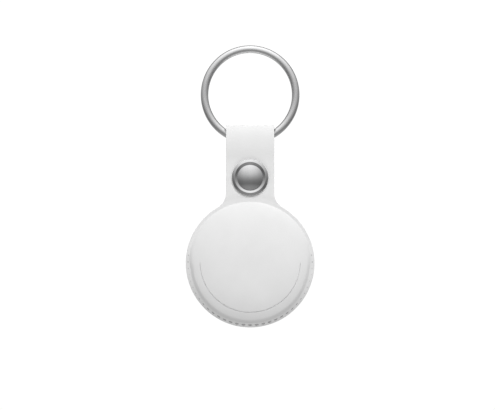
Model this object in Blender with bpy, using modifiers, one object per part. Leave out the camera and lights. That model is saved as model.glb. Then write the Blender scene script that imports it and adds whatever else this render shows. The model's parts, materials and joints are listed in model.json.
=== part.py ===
"""Round wireless tracker tag in a stitched leather key fob that hangs from a split ring.

The fob is two leather leaves sewn round the lower half of a round pouch. The front leaf runs up
into a strap, loops over the ring and comes down behind as a tail, which a press stud closes.
World frame: metres, +Z up, the front at -Y, the origin at the inner top of the ring, where it hangs.
Holder and tag are drawn in the front view: x right, y up, z towards the viewer, from the pouch centre.
"""

from math import cos, hypot, pi, radians, sin, sqrt

import bmesh
import bpy
from mathutils import Matrix, Vector

MM = 0.001

# Split ring
RING_OUTER_RADIUS = 15.65 * MM
WIRE_WIDTH = 2.4 * MM
WIRE_DEPTH = 1.25 * MM
WIRE_CHAMFER = 0.45 * MM
TURN_GAP = 0.1 * MM
JOGGLE_ANGLE = radians(40)

# Leather fob
LEATHER = 1.0 * MM
LINING = 0.4 * MM
STRAP_WIDTH = 15.25 * MM
SNAP_TO_POUCH = 27.07 * MM
LOOP_ABOVE_TAB = 2.71 * MM
LOOP_END_RUN = 0.2 * MM
LOOP_SETBACK = 0.8 * MM
NECK_FILLET = 7.0 * MM
FLANGE_WIDTH = 1.45 * MM
EDGE_ROOM = 1.5 * MM
SEAM_HEIGHT = 1.2 * MM
DOME_FULLNESS = 2.6
BACK_FULLNESS = 2.3
BACK_SHOULDER = 3.5 * MM
WINDOW_MARGIN = 0.5 * MM

# Half-moon score line and the sewn seam
SCORE_INSET = 0.15 * MM
SCORE_RISE = 0.3 * MM
SCORE_WIDTH = 0.25 * MM
SCORE_DEPTH = 0.45 * MM
THREAD_RADIUS = 0.22 * MM
THREAD_INSET = 0.85 * MM
SEAM_RISE = radians(14)

# Press stud
CAP_RADIUS = 5.75 * MM
CAP_RIM = 1.7 * MM
CAP_HEIGHT = 1.35 * MM
CAP_CROWN = 0.4 * MM
POST_RADIUS = 1.2 * MM
POST_REACH = 0.38 * MM
STUD_WALL = 0.45 * MM
STUD_HEAD = 0.2 * MM
STUD_BASE_LIP = 1.45 * MM
STUD_BASE_THICKNESS = 0.4 * MM
SOCKET_PLAY = 0.5 * MM
SOCKET_WALL = 0.6 * MM
SOCKET_LIP = 1.65 * MM
SPRING_WIRE = 0.2 * MM
SPRING_GAP = radians(40)
BACK_CAP_RADIUS = 5.0 * MM
BACK_CAP_HEIGHT = 1.1 * MM

# Tracker tag, from the cell outwards
CELL_RADIUS = 10.0 * MM
CELL_THICKNESS = 3.2 * MM
CELL_LID_INSET = 1.3 * MM
CELL_CRIMP = 0.2 * MM
TRAY_FLOOR = 0.5 * MM
TRAY_WALL = 1.45 * MM
TRAY_RIM_WIDTH = 1.1 * MM
CELL_LEDGE = 1.45 * MM
GROOVE_WIDTH = 1.05 * MM
COVER_SHEET = 0.4 * MM
COVER_RISE = 0.95 * MM
COVER_LIP = 0.2 * MM
COVER_FULLNESS = 8.0
SKIRT_LENGTH = 1.3 * MM
TAB_REACH = 0.55 * MM
TAB_HEIGHT = 0.5 * MM
TAB_ANGLE = radians(14)
TAB_COUNT = 3
TWIST_ANGLE = radians(20)
SEAL_HEIGHT = 0.35 * MM
SEAL_WIDTH = 0.5 * MM
SHELL_WALL = 1.0 * MM
SHELL_SIDE = 2.0 * MM
SHELL_RIM_WIDTH = 0.75 * MM
SHELL_RIM_SETBACK = 1.1 * MM
SHELL_EQUATOR = 4.5 * MM
SHELL_FULLNESS = 3.8
MAGNET_RADIUS = 4.3 * MM
COIL_WALL = 0.7 * MM
COIL_PLAY = 0.25 * MM
COIL_LIFT = 0.5 * MM
YOKE_WALL = 0.5 * MM
YOKE_FLOOR = 0.4 * MM
YOKE_HEIGHT = 1.55 * MM
YOKE_ROOM = 0.6 * MM
BOARD_THICKNESS = 0.6 * MM
BOARD_INSET = 1.05 * MM
ANTENNA_WIDTH = 0.9 * MM
ANTENNA_INSET = 0.7 * MM
ANTENNA_HEIGHT = 0.3 * MM
CONTACT_ROOM = 0.5 * MM
CONTACT_SHEET = 0.15 * MM
CONTACT_WIDTH = 2.6 * MM

# Clearances
SEAM_GAP = 0.1 * MM
LINING_GAP = 0.05 * MM
TAG_CLEARANCE = 0.15 * MM
LOOP_CLEARANCE = 0.1 * MM
STUD_CLEARANCE = 0.35 * MM
FIT = 0.1 * MM
RUNNING_FIT = 0.15 * MM

# Facets round a full turn, and along an arc or a thread
ROUND_FACETS = 40
RING_FACETS = 32
SMALL_FACETS = 24
ARC_FACETS = 6
SCORE_FACETS = 18
THREAD_FACETS = 28

# Tag radii, from the cell out to the shell
CELL_LID_RADIUS = CELL_RADIUS - CELL_LID_INSET
WELL_RADIUS = CELL_RADIUS + FIT + RUNNING_FIT
WELL_WALL_RADIUS = WELL_RADIUS + TRAY_WALL
GROOVE_RADIUS = WELL_WALL_RADIUS + GROOVE_WIDTH
COVER_RADIUS = GROOVE_RADIUS - RUNNING_FIT
SKIRT_RADIUS = COVER_RADIUS - COVER_LIP
TRAY_RADIUS = GROOVE_RADIUS + TRAY_RIM_WIDTH
SHELL_BORE = TRAY_RADIUS + FIT
TAG_RADIUS = SHELL_BORE + SHELL_SIDE
COIL_RADIUS = MAGNET_RADIUS + COIL_PLAY + COIL_WALL
YOKE_BORE = COIL_RADIUS + COIL_PLAY + FIT
YOKE_RADIUS = YOKE_BORE + YOKE_WALL
BOARD_BORE = YOKE_RADIUS + 2 * FIT
BOARD_RADIUS = TRAY_RADIUS - BOARD_INSET

# Tag heights, from the cover forward to the shell, about the middle of its thickness
SPEAKER_ROOM = FIT + YOKE_HEIGHT + YOKE_ROOM
TRAY_STACK = COVER_SHEET + RUNNING_FIT + CELL_THICKNESS + CONTACT_ROOM + TRAY_FLOOR
TAG_FRONT = (TRAY_STACK + SPEAKER_ROOM + SHELL_WALL) / 2
CELL_BACK = -TAG_FRONT + COVER_SHEET + RUNNING_FIT
CELL_FRONT = CELL_BACK + CELL_THICKNESS
TRAY_BACK = CELL_FRONT + CONTACT_ROOM
TRAY_FRONT = TRAY_BACK + TRAY_FLOOR
COVER_EDGE = -TAG_FRONT + COVER_RISE
COVER_LEDGE = COVER_EDGE + COVER_SHEET
SKIRT_END = COVER_LEDGE + SKIRT_LENGTH
TAB_TOP = SKIRT_END - FIT
TAB_BOTTOM = TAB_TOP - TAB_HEIGHT
GROOVE_FLOOR = SKIRT_END + RUNNING_FIT + SEAL_HEIGHT + FIT
SHELL_RIM_HEIGHT = -TAG_FRONT + SHELL_RIM_SETBACK
TAG_EQUATOR = TAG_FRONT - SHELL_EQUATOR
TRAY_RIM = SHELL_RIM_HEIGHT + FIT / 2
BOARD_BACK = TRAY_FRONT + FIT
BOARD_FRONT = BOARD_BACK + BOARD_THICKNESS

# Pouch: both leaves lie over the tag with their linings
LINED = LEATHER + LINING_GAP
DOME_RADIUS = TAG_RADIUS + EDGE_ROOM + LINING + LINED
POUCH_RADIUS = DOME_RADIUS + FLANGE_WIDTH
SEAM_RADIUS = POUCH_RADIUS - THREAD_INSET
SCORE_RADIUS = TAG_RADIUS - SCORE_INSET
WINDOW_RADIUS = COVER_RADIUS + WINDOW_MARGIN
FRONT_CROWN = TAG_FRONT + TAG_CLEARANCE + LINING + LINED
BACK_PLANE = SHELL_RIM_HEIGHT - TAG_CLEARANCE - LINING - LINED
FRONT_INSIDE = SEAM_HEIGHT + SEAM_GAP / 2
FRONT_FACE = FRONT_INSIDE + LEATHER
BACK_INSIDE = SEAM_HEIGHT - SEAM_GAP / 2
BACK_FACE = BACK_INSIDE - LEATHER
TAIL_INSIDE = BACK_FACE - SEAM_GAP
TAIL_FACE = TAIL_INSIDE - LEATHER

# Loop: set back from the tag's middle, so that the strap runs up to it nearly straight. The wire bows inside
# it, from its lowest point up to where it leaves the strap's sides.
RING_INNER_RADIUS = RING_OUTER_RADIUS - WIRE_WIDTH
RING_DEPTH = 2 * WIRE_DEPTH + TURN_GAP
WIRE_EXIT = sqrt(RING_INNER_RADIUS**2 - (STRAP_WIDTH / 2) ** 2)
WIRE_REACH = hypot((RING_OUTER_RADIUS - WIRE_EXIT) / 2, RING_DEPTH / 2 - WIRE_CHAMFER)
LOOP_RADIUS = WIRE_REACH + LOOP_CLEARANCE
LOOP_Y = SNAP_TO_POUCH + STRAP_WIDTH / 2 + LOOP_ABOVE_TAB + LOOP_RADIUS
LOOP_END_Y = LOOP_Y - LOOP_END_RUN
TAIL_TOP_Y = LOOP_END_Y - SEAM_GAP
STRAP_FLAT_TOP = SNAP_TO_POUCH + CAP_RADIUS + 2 * FIT
RING_TO_LOOP = (WIRE_EXIT + RING_OUTER_RADIUS) / 2
RING_HEIGHT = -RING_INNER_RADIUS
POUCH_HEIGHT = RING_HEIGHT - RING_TO_LOOP - LOOP_Y

# Press stud, worked out from its post
STUD_RADIUS = POST_RADIUS + FIT + STUD_WALL
STUD_BASE_RADIUS = STUD_RADIUS + STUD_BASE_LIP
SOCKET_BORE = STUD_RADIUS + STUD_HEAD + SOCKET_PLAY
BARREL_RADIUS = SOCKET_BORE + SOCKET_WALL
SOCKET_RADIUS = BARREL_RADIUS + SOCKET_LIP
STUD_HOLE_RADIUS = SOCKET_RADIUS + 3 * FIT
SPRING_RADIUS = SOCKET_BORE + SPRING_WIRE / 2


# Scene, materials and modelling tools


def clear_scene():
    for found in list(bpy.data.objects):
        bpy.data.objects.remove(found)


def collection(name):
    made = bpy.data.collections.new(name)
    bpy.context.scene.collection.children.link(made)
    return made


def material(name, colour, roughness, metallic=0.0):
    made = bpy.data.materials.new(name)
    made.use_nodes = True
    shader = made.node_tree.nodes["Principled BSDF"]
    shader.inputs["Base Color"].default_value = (*colour, 1.0)
    shader.inputs["Roughness"].default_value = roughness
    shader.inputs["Metallic"].default_value = metallic
    return made


def to_world(point):
    """A point of the front view, x right, y up and z towards the viewer, as a direction in the world."""
    x, y, z = point
    return (x, -z, y)


def axis_empty(name, height, forward=0.0):
    """An empty on the fob's centre line, at a height, and forward of the ring's plane."""
    made = bpy.data.objects.new(name, None)
    made.empty_display_size = 5 * MM
    made.location = (0, -forward, height)
    parts.objects.link(made)
    return made


def part(name, mesh, look, parent, offset=(0, 0, 0)):
    """A named piece under its parent, with its own origin at offset in the front view."""
    made = bpy.data.objects.new(name, mesh)
    parts.objects.link(made)
    made.parent = parent
    made.location = to_world(offset)
    made.data.materials.append(look)
    return made


def helper(name, mesh, parent):
    """A shape that only cuts or joins, and isn't shown."""
    made = bpy.data.objects.new(name, mesh)
    cutters.objects.link(made)
    made.parent = parent
    made.hide_render = True
    made.display_type = "WIRE"
    return made


def join(target, other, operation):
    boolean = target.modifiers.new(operation.lower(), "BOOLEAN")
    boolean.operation = operation
    boolean.object = other


def turn(target, facets):
    """Turns a profile about the line from front to back through its origin."""
    screw = target.modifiers.new("turn", "SCREW")
    screw.axis = "Y"
    screw.use_normal_flip = True
    screw.steps = facets
    screw.render_steps = facets
    screw.use_merge_vertices = True
    screw.merge_threshold = 0.001 * MM
    return target


def profile_mesh(name, points, closed=False):
    """A half section of (radius, height) points, running out along the top and down the outer side."""
    mesh = bpy.data.meshes.new(name)
    edges = [(i, i + 1) for i in range(len(points) - 1)]
    if closed:
        edges.append((len(points) - 1, 0))
    mesh.from_pydata([to_world((radius, 0, height)) for radius, height in points], edges, [])
    return mesh


def turned(name, points, look, parent, closed=False, facets=ROUND_FACETS):
    return turn(part(name, profile_mesh(name, points, closed), look, parent), facets)


def turned_cutter(name, points, parent):
    return turn(helper(name, profile_mesh(name, points), parent), SMALL_FACETS)


def ring_section(inner, outer, low, high):
    return [(inner, high), (outer, high), (outer, low), (inner, low)]


def disc_section(radius, low, high):
    return [(0, high), (radius, high), (radius, low), (0, low)]


def mesh_of_curve(curve, place=None):
    """The curve's solid as a welded mesh, each point moved by place in the front view."""
    drawn = bpy.data.objects.new(curve.name, curve)
    bpy.context.scene.collection.objects.link(drawn)
    bpy.context.view_layer.update()
    graph = bpy.context.evaluated_depsgraph_get()
    mesh = bpy.data.meshes.new_from_object(drawn.evaluated_get(graph))
    bpy.data.objects.remove(drawn)
    for vertex in mesh.vertices:
        vertex.co = to_world(place(vertex.co) if place else vertex.co)
    shape = bmesh.new()
    shape.from_mesh(mesh)
    bmesh.ops.remove_doubles(shape, verts=shape.verts, dist=0.0005 * MM)
    bmesh.ops.recalc_face_normals(shape, faces=shape.faces)
    shape.to_mesh(mesh)
    shape.free()
    return mesh


def poly_spline(curve, points, cyclic):
    spline = curve.splines.new("POLY")
    spline.points.add(len(points) - 1)
    for at, point in zip(spline.points, points):
        at.co = (*point, 1)
    spline.use_cyclic_u = cyclic


def plate_mesh(name, outline, low, high):
    """A flat outline of (x, y) points between two heights."""
    curve = bpy.data.curves.new(name, "CURVE")
    curve.dimensions = "2D"
    curve.fill_mode = "BOTH"
    curve.extrude = (high - low) / 2
    poly_spline(curve, [(x, y, 0) for x, y in outline], True)
    return mesh_of_curve(curve, lambda at: (at.x, at.y, high if at.z > 0 else low))


def strip_mesh(name, line, thickness, width):
    """A bent strip: a side-view line of (z, y) points given a thickness, and a width along x."""
    curve = bpy.data.curves.new(name, "CURVE")
    curve.dimensions = "2D"
    curve.fill_mode = "BOTH"
    curve.extrude = width / 2
    half = thickness / 2
    outline = offset_line(line, half) + offset_line(line, -half)[::-1]
    poly_spline(curve, [(z, y, 0) for z, y in outline], True)
    return mesh_of_curve(curve, lambda at: (-at.z, at.y, at.x))


def tube_mesh(name, points, radius):
    """A round wire along the points, with closed ends."""
    curve = bpy.data.curves.new(name, "CURVE")
    curve.dimensions = "3D"
    curve.bevel_depth = radius
    curve.bevel_resolution = 1
    curve.use_fill_caps = True
    poly_spline(curve, points, False)
    return mesh_of_curve(curve)


def offset_line(line, distance):
    """The line moved sideways to its left by distance, with mitred corners."""
    moved = []
    for i, point in enumerate(line):
        here = Vector(point)
        before = (here - Vector(line[i - 1])).normalized() if i else None
        after = (Vector(line[i + 1]) - here).normalized() if i + 1 < len(line) else None
        run_in = before or after
        run_out = after or before
        normal = Vector((-run_in.y - run_out.y, run_in.x + run_out.x)).normalized()
        aside = here + normal * distance / normal.dot(Vector((-run_in.y, run_in.x)))
        moved.append((round(aside.x, 9), round(aside.y, 9)))
    return moved


def arc(centre, radius, start, end, facets):
    """Points along an arc in a plane, both ends included."""
    angles = [start + (end - start) * i / facets for i in range(facets + 1)]
    return [(centre[0] + radius * cos(a), centre[1] + radius * sin(a)) for a in angles]


def sector_outline(inner, outer, middle, angle, facets=ARC_FACETS):
    start = middle - angle / 2
    end = middle + angle / 2
    return arc((0, 0), outer, start, end, facets) + arc((0, 0), inner, end, start, facets)


def dome(radius, foot, height, fullness, facets=6, flat=0.0):
    """Points from the middle of a dome, or from the edge of its flat top, out and down to its foot."""
    points = [(0.0, foot + height)] if flat else []
    for i in range(facets + 1):
        share = sin(pi / 2 * i / facets)
        fall = max(0.0, 1 - share**fullness) ** (2 / fullness)
        points.append((flat + share * (radius - flat), foot + height * fall))
    return points


def inside_of(points, distance):
    """A dome's line moved inwards by distance, its ends kept on the axis and on its foot's height."""
    moved = offset_line(points, -distance)
    moved[0] = (0.0, moved[0][1])
    moved[-1] = (points[-1][0] - distance, points[-1][1])
    return moved


def box_mesh(name, size, centre, turn_angle=0.0):
    """A block at a centre, turned about z."""
    mesh = bpy.data.meshes.new(name)
    shape = bmesh.new()
    bmesh.ops.create_cube(shape, size=1.0)
    place = Matrix.Rotation(turn_angle, 4, "Z") @ Matrix.Translation(centre) @ Matrix.Diagonal((*size, 1))
    shape.transform(Matrix.Rotation(pi / 2, 4, "X") @ place)
    shape.to_mesh(mesh)
    shape.free()
    return mesh


def flipped(points):
    """A half section with its front and back exchanged, in the order that a turned profile needs."""
    return [(radius, -height) for radius, height in reversed(points)]


# Split ring: two flat turns of wire, stepped over each other inside the strap's loop


def split_ring():
    low, high = -WIRE_DEPTH / 2, WIRE_DEPTH / 2
    c = WIRE_CHAMFER
    section = [
        (RING_INNER_RADIUS, low + c),
        (RING_INNER_RADIUS + c, low),
        (RING_OUTER_RADIUS - c, low),
        (RING_OUTER_RADIUS, low + c),
        (RING_OUTER_RADIUS, high - c),
        (RING_OUTER_RADIUS - c, high),
        (RING_INNER_RADIUS + c, high),
        (RING_INNER_RADIUS, high - c),
    ]
    pitch = WIRE_DEPTH + TURN_GAP
    start = -pi / 2 + JOGGLE_ANGLE / 2
    turn_angle = 2 * pi - JOGGLE_ANGLE
    shape = bmesh.new()
    corners = [shape.verts.new((r * cos(start), r * sin(start), h + pitch / 2)) for r, h in section]
    loop = [shape.edges.new((corners[i - 1], corners[i])) for i in range(len(corners))]
    last = corners + loop
    flat_turn = (turn_angle, 0, RING_FACETS)
    step_over = (JOGGLE_ANGLE, -pitch / ARC_FACETS, ARC_FACETS)
    for angle, rise, steps in (flat_turn, step_over, flat_turn):
        swept = bmesh.ops.spin(
            shape, geom=last, axis=(0, 0, 1), dvec=(0, 0, rise), angle=angle, steps=steps
        )
        last = swept["geom_last"]
    open_edges = [edge for edge in shape.edges if edge.is_boundary]
    bmesh.ops.holes_fill(shape, edges=open_edges, sides=len(section))
    bmesh.ops.recalc_face_normals(shape, faces=shape.faces)
    shape.transform(Matrix.Rotation(pi / 2, 4, "X"))
    mesh = bpy.data.meshes.new("split_ring")
    shape.to_mesh(mesh)
    shape.free()
    part("split_ring", mesh, steel, ring_axis)


# Leather leaves: turned pouch halves joined to the neck, the strap and the loop


def neck_outline(top):
    """The neck from the pouch's flange up to a list of points along its top, left to right.

    Its lower edge has an odd number of facets, so that none of its points lies on a facet line of the
    turned flange, where the two are joined.
    """
    side = STRAP_WIDTH / 2
    fillet_x = side + NECK_FILLET
    fillet_y = sqrt((POUCH_RADIUS + NECK_FILLET) ** 2 - fillet_x**2)
    toe = pi + Vector((fillet_x, fillet_y)).angle(Vector((1, 0)))
    right = arc((fillet_x, fillet_y), NECK_FILLET, pi, toe, ARC_FACETS)
    left = [(-x, y) for x, y in right[::-1]]
    toe_angle = toe - pi
    inner = POUCH_RADIUS - FLANGE_WIDTH / 2
    odd_facets = 3 * ARC_FACETS - 1
    under = arc((0, 0), inner, toe_angle, pi - toe_angle, odd_facets)
    return left + top + right + under


def strap_line(face, side, top):
    """One side of the loop in side view, from the flat strap up to a height beside the wire."""
    middle = side * (LOOP_RADIUS + LEATHER / 2) - LOOP_SETBACK
    points = []
    for i in range(ARC_FACETS + 1):
        share = i / ARC_FACETS
        ease = share * share * (3 - 2 * share)
        points.append((face + (middle - face) * ease, STRAP_FLAT_TOP + (top - STRAP_FLAT_TOP) * share))
    return points


def front_dome(inset=0.0):
    """The front leaf's half section, or a dome that lies within it by an inset."""
    return dome(DOME_RADIUS - inset, FRONT_FACE, FRONT_CROWN - FRONT_FACE - inset, DOME_FULLNESS)


def back_dome():
    """The back leaf's half section seen from behind: a flat face and a rounded shoulder."""
    flat = DOME_RADIUS - BACK_SHOULDER
    return dome(DOME_RADIUS, -BACK_FACE, BACK_FACE - BACK_PLANE, BACK_FULLNESS, 4, flat)


def seam_points(height):
    """The seam's line, round the bottom of the pouch from one end of the mouth to the other."""
    line = arc((0, 0), SEAM_RADIUS, pi - SEAM_RISE, 2 * pi + SEAM_RISE, THREAD_FACETS)
    return [(x, y, height) for x, y in line]


def cut_thread_groove(leaf, name, height):
    groove = helper(name, tube_mesh(name, seam_points(height), THREAD_RADIUS + FIT), pouch_axis)
    join(leaf, groove, "DIFFERENCE")


def front_leather():
    outer = front_dome()
    inner = front_dome(LEATHER)
    section = outer + [
        (POUCH_RADIUS, FRONT_FACE),
        (POUCH_RADIUS, FRONT_INSIDE),
        (inner[-1][0], FRONT_INSIDE),
    ]
    leaf = turned("front_leather", section + inner[::-1], white_leather, pouch_axis)

    middle = FRONT_FACE - LEATHER / 2
    line = [(middle, 0)] + strap_line(middle, 1, LOOP_Y)
    line += arc((-LOOP_SETBACK, LOOP_Y), LOOP_RADIUS + LEATHER / 2, 0, pi, 2 * ARC_FACETS)[1:]
    line += [(line[-1][0], LOOP_END_Y)]
    strap = helper("front_strap", strip_mesh("front_strap", line, LEATHER, 2 * POUCH_RADIUS), pouch_axis)
    side = STRAP_WIDTH / 2
    reach = 2 * (LOOP_RADIUS + LEATHER)
    outline = neck_outline([(-side, LOOP_Y + reach), (side, LOOP_Y + reach)])
    keep = plate_mesh("strap_outline", outline, -reach, reach)
    join(strap, helper("strap_outline", keep, pouch_axis), "INTERSECT")
    join(leaf, strap, "UNION")

    hole = disc_section(POST_RADIUS + FIT, FRONT_INSIDE - LEATHER, FRONT_FACE + LEATHER)
    join(leaf, turned_cutter("post_hole", hole, snap_axis), "DIFFERENCE")

    score = front_score_mesh(outer)
    join(leaf, helper("half_moon_score", score, pouch_axis), "DIFFERENCE")
    cut_thread_groove(leaf, "front_thread_groove", FRONT_FACE)


def front_score_mesh(outer):
    """A half ring that scores the lower half of the front, from its surface down."""
    near = max(i for i, (radius, _) in enumerate(outer) if radius < SCORE_RADIUS)
    (r0, h0), (r1, h1) = outer[near], outer[near + 1]
    surface = h0 + (h1 - h0) * (SCORE_RADIUS - r0) / (r1 - r0)
    half = SCORE_WIDTH / 2
    outline = sector_outline(SCORE_RADIUS - half, SCORE_RADIUS + half, 3 * pi / 2, pi, SCORE_FACETS)
    raised = [(x, y + SCORE_RISE) for x, y in outline]
    return plate_mesh("half_moon_score", raised, surface - SCORE_DEPTH, surface + LEATHER)


def back_leather():
    outer = back_dome()
    inner = inside_of(outer, LEATHER)
    section = [(WINDOW_RADIUS, outer[0][1])] + outer[1:] + [
        (POUCH_RADIUS, -BACK_FACE),
        (POUCH_RADIUS, -BACK_INSIDE),
        (inner[-1][0], -BACK_INSIDE),
    ]
    section += inner[:0:-1] + [(WINDOW_RADIUS, inner[1][1])]
    leaf = turned("back_leather", flipped(section), white_leather, pouch_axis, closed=True)

    tab_top = arc((0, SNAP_TO_POUCH), STRAP_WIDTH / 2, pi, 0, 2 * ARC_FACETS)
    neck = plate_mesh("back_neck", neck_outline(tab_top), BACK_FACE, BACK_INSIDE)
    join(leaf, helper("back_neck", neck, pouch_axis), "UNION")

    hole = disc_section(STUD_HOLE_RADIUS, BACK_FACE - LEATHER, BACK_INSIDE + LEATHER)
    join(leaf, turned_cutter("stud_hole", hole, snap_axis), "DIFFERENCE")
    cut_thread_groove(leaf, "back_thread_groove", BACK_FACE)


def strap_tail():
    """The tail behind the strap, from the loop's back down to its round end below the press stud."""
    side = STRAP_WIDTH / 2
    middle = TAIL_FACE + LEATHER / 2
    line = [(middle, SNAP_TO_POUCH - STRAP_WIDTH)] + strap_line(middle, -1, TAIL_TOP_Y - LOOP_END_RUN)
    line += [(line[-1][0], TAIL_TOP_Y)]
    hinge = (0, LOOP_END_Y, -LOOP_SETBACK - LOOP_RADIUS - LEATHER)
    mesh = strip_mesh("strap_tail", line, LEATHER, STRAP_WIDTH)
    mesh.transform(Matrix.Translation(-Vector(to_world(hinge))))
    tail = part("strap_tail", mesh, white_leather, pouch_axis, hinge)

    outline = arc((0, SNAP_TO_POUCH), side, pi, 2 * pi, 2 * ARC_FACETS)
    outline += [(STRAP_WIDTH, SNAP_TO_POUCH), (STRAP_WIDTH, LOOP_Y + side)]
    outline += [(-STRAP_WIDTH, LOOP_Y + side), (-STRAP_WIDTH, SNAP_TO_POUCH)]
    reach = 2 * (LOOP_RADIUS + LEATHER)
    keep = plate_mesh("tail_outline", outline, -reach, reach)
    join(tail, helper("tail_outline", keep, pouch_axis), "INTERSECT")

    hole = disc_section(BARREL_RADIUS + FIT, TAIL_FACE - LEATHER, TAIL_INSIDE + LEATHER)
    join(tail, turned_cutter("barrel_hole", hole, snap_axis), "DIFFERENCE")


def linings():
    """Thin cloth liners that lie inside both leaves, against the tag."""
    front = front_dome(LINED)
    front_face = front_dome(LINED + LINING)
    section = front + [(front[-1][0], FRONT_INSIDE), (front_face[-1][0], FRONT_INSIDE)] + front_face[::-1]
    turned("front_lining", section, lining_cloth, pouch_axis)

    back = inside_of(back_dome(), LINED)
    back_face = inside_of(back_dome(), LINED + LINING)
    section = [(WINDOW_RADIUS, back[1][1])] + back[1:]
    section += [(back[-1][0], -BACK_INSIDE), (back_face[-1][0], -BACK_INSIDE)]
    section += back_face[:0:-1] + [(WINDOW_RADIUS, back_face[1][1])]
    turned("back_lining", flipped(section), lining_cloth, pouch_axis, closed=True)


def stitching():
    """The seam's two threads, one sunk in each leaf's groove."""
    for name, height in (("front_thread", FRONT_FACE), ("back_thread", BACK_FACE)):
        part(name, tube_mesh(name, seam_points(height), THREAD_RADIUS), white_thread, pouch_axis)


# Press stud: a cap and stud riveted through the strap, a sprung socket and back cap on the tail


def press_stud():
    stud_base = FRONT_INSIDE - FIT - STUD_BASE_THICKNESS
    post_end = stud_base - POST_REACH
    snap_cap(post_end)
    snap_stud(stud_base, post_end)
    snap_socket(stud_base)
    back_cap = dome(BACK_CAP_RADIUS, FIT - TAIL_FACE + BACK_CAP_HEIGHT / 2, BACK_CAP_HEIGHT / 2, 2.6)
    section = back_cap + [(BACK_CAP_RADIUS, FIT - TAIL_FACE), (0, FIT - TAIL_FACE)]
    turned("snap_back_cap", flipped(section), steel, snap_axis, facets=SMALL_FACETS)


def snap_cap(post_end):
    """The cap's rolled rim and dished dome, with the post that goes through the strap."""
    seat = FRONT_FACE + FIT
    rim = CAP_RIM / 2
    groove = seat + CAP_HEIGHT - rim
    rim_line = arc((CAP_RADIUS - rim, groove), rim, pi, 0, ARC_FACETS)
    cap_dome = dome(CAP_RADIUS - CAP_RIM, groove, rim + CAP_CROWN, 2.2)
    section = cap_dome + rim_line[1:] + [(CAP_RADIUS, seat), (POST_RADIUS, seat)]
    section += [(POST_RADIUS, post_end), (0, post_end)]
    turned("snap_cap", section, steel, snap_axis, facets=SMALL_FACETS)


def snap_stud(base, post_end):
    """The stud that the post is riveted in, with a head for the socket's spring to hold."""
    tip = TAIL_FACE - FIT + STUD_CLEARANCE
    bore = POST_RADIUS + FIT
    bore_end = post_end - FIT
    head = STUD_RADIUS + STUD_HEAD
    section = [
        (0, bore_end),
        (bore, bore_end),
        (bore, base + STUD_BASE_THICKNESS),
        (STUD_BASE_RADIUS, base + STUD_BASE_THICKNESS),
        (STUD_BASE_RADIUS, base),
        (STUD_RADIUS, base),
        (STUD_RADIUS, tip + 3 * STUD_HEAD),
        (head, tip + 2 * STUD_HEAD),
        (head, tip + STUD_HEAD),
        (STUD_RADIUS, tip),
        (0, tip),
    ]
    turned("snap_stud", section, steel, snap_axis, facets=SMALL_FACETS)


def snap_socket(stud_base):
    """The socket riveted through the tail, with a groove for its split spring."""
    flange_front = stud_base - RUNNING_FIT
    flange_back = TAIL_INSIDE + FIT
    spring_height = flange_front - SPRING_WIRE - 2 * FIT
    groove = SPRING_RADIUS + SPRING_WIRE + FIT
    groove_front = spring_height + SPRING_WIRE + FIT / 2
    groove_back = spring_height - SPRING_WIRE - FIT / 2
    section = [
        (SOCKET_BORE, flange_front),
        (SOCKET_RADIUS, flange_front),
        (SOCKET_RADIUS, flange_back),
        (BARREL_RADIUS, flange_back),
        (BARREL_RADIUS, TAIL_FACE),
        (SOCKET_BORE, TAIL_FACE),
        (SOCKET_BORE, groove_back),
        (groove, groove_back),
        (groove, groove_front),
        (SOCKET_BORE, groove_front),
    ]
    turned("snap_socket", section, steel, snap_axis, closed=True, facets=SMALL_FACETS)
    first = pi / 2 + SPRING_GAP / 2
    ring = arc((0, 0), SPRING_RADIUS, first, first + 2 * pi - SPRING_GAP, SMALL_FACETS)
    spring = tube_mesh("snap_spring", [(x, y, spring_height) for x, y in ring], SPRING_WIRE)
    part("snap_spring", spring, steel, snap_axis)


# Tracker tag: moulded shell, speaker, board, cell tray and twist-off steel cover


def tag_shell():
    outer = dome(TAG_RADIUS, TAG_EQUATOR, TAG_FRONT - TAG_EQUATOR, SHELL_FULLNESS)
    rim = SHELL_BORE + SHELL_RIM_WIDTH
    drop = TAG_EQUATOR - SHELL_RIM_HEIGHT
    lip = [(rim + (TAG_RADIUS - rim) * cos(a), TAG_EQUATOR - drop * sin(a)) for a in (pi / 6, pi / 3, pi / 2)]
    inner = shell_inside()
    section = outer + lip + [(SHELL_BORE, SHELL_RIM_HEIGHT)] + inner[::-1]
    turned("tag_shell", section, white_plastic, tag_axis)


def shell_inside():
    """The shell's hollow, from its middle out to the bore."""
    foot = TRAY_FRONT - CONTACT_ROOM
    return dome(SHELL_BORE, foot, TAG_FRONT - SHELL_WALL - foot, SHELL_FULLNESS)


def shell_height_at(radius):
    """Height of the shell's inside surface at a radius, read from its facets."""
    points = shell_inside()
    near = max(i for i, (r, _) in enumerate(points[:-1]) if r <= radius)
    (r0, h0), (r1, h1) = points[near], points[near + 1]
    return h0 + (h1 - h0) * (radius - r0) / (r1 - r0)


def speaker():
    """A magnet in a steel cup behind the shell, and the coil glued to the shell that it drives."""
    floor = TRAY_FRONT + FIT
    inside = floor + YOKE_FLOOR
    rim = floor + YOKE_HEIGHT
    section = [(0, inside), (YOKE_BORE, inside), (YOKE_BORE, rim)]
    section += [(YOKE_RADIUS, rim), (YOKE_RADIUS, floor), (0, floor)]
    turned("magnet_yoke", section, steel, tag_axis, facets=SMALL_FACETS)
    magnet = disc_section(MAGNET_RADIUS, inside + FIT / 2, rim)
    turned("speaker_magnet", magnet, steel, tag_axis, facets=SMALL_FACETS)
    top = shell_height_at(COIL_RADIUS) - FIT / 2
    coil = ring_section(COIL_RADIUS - COIL_WALL, COIL_RADIUS, inside + COIL_LIFT, top)
    turned("speaker_coil", coil, copper, tag_axis, closed=True, facets=SMALL_FACETS)


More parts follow.
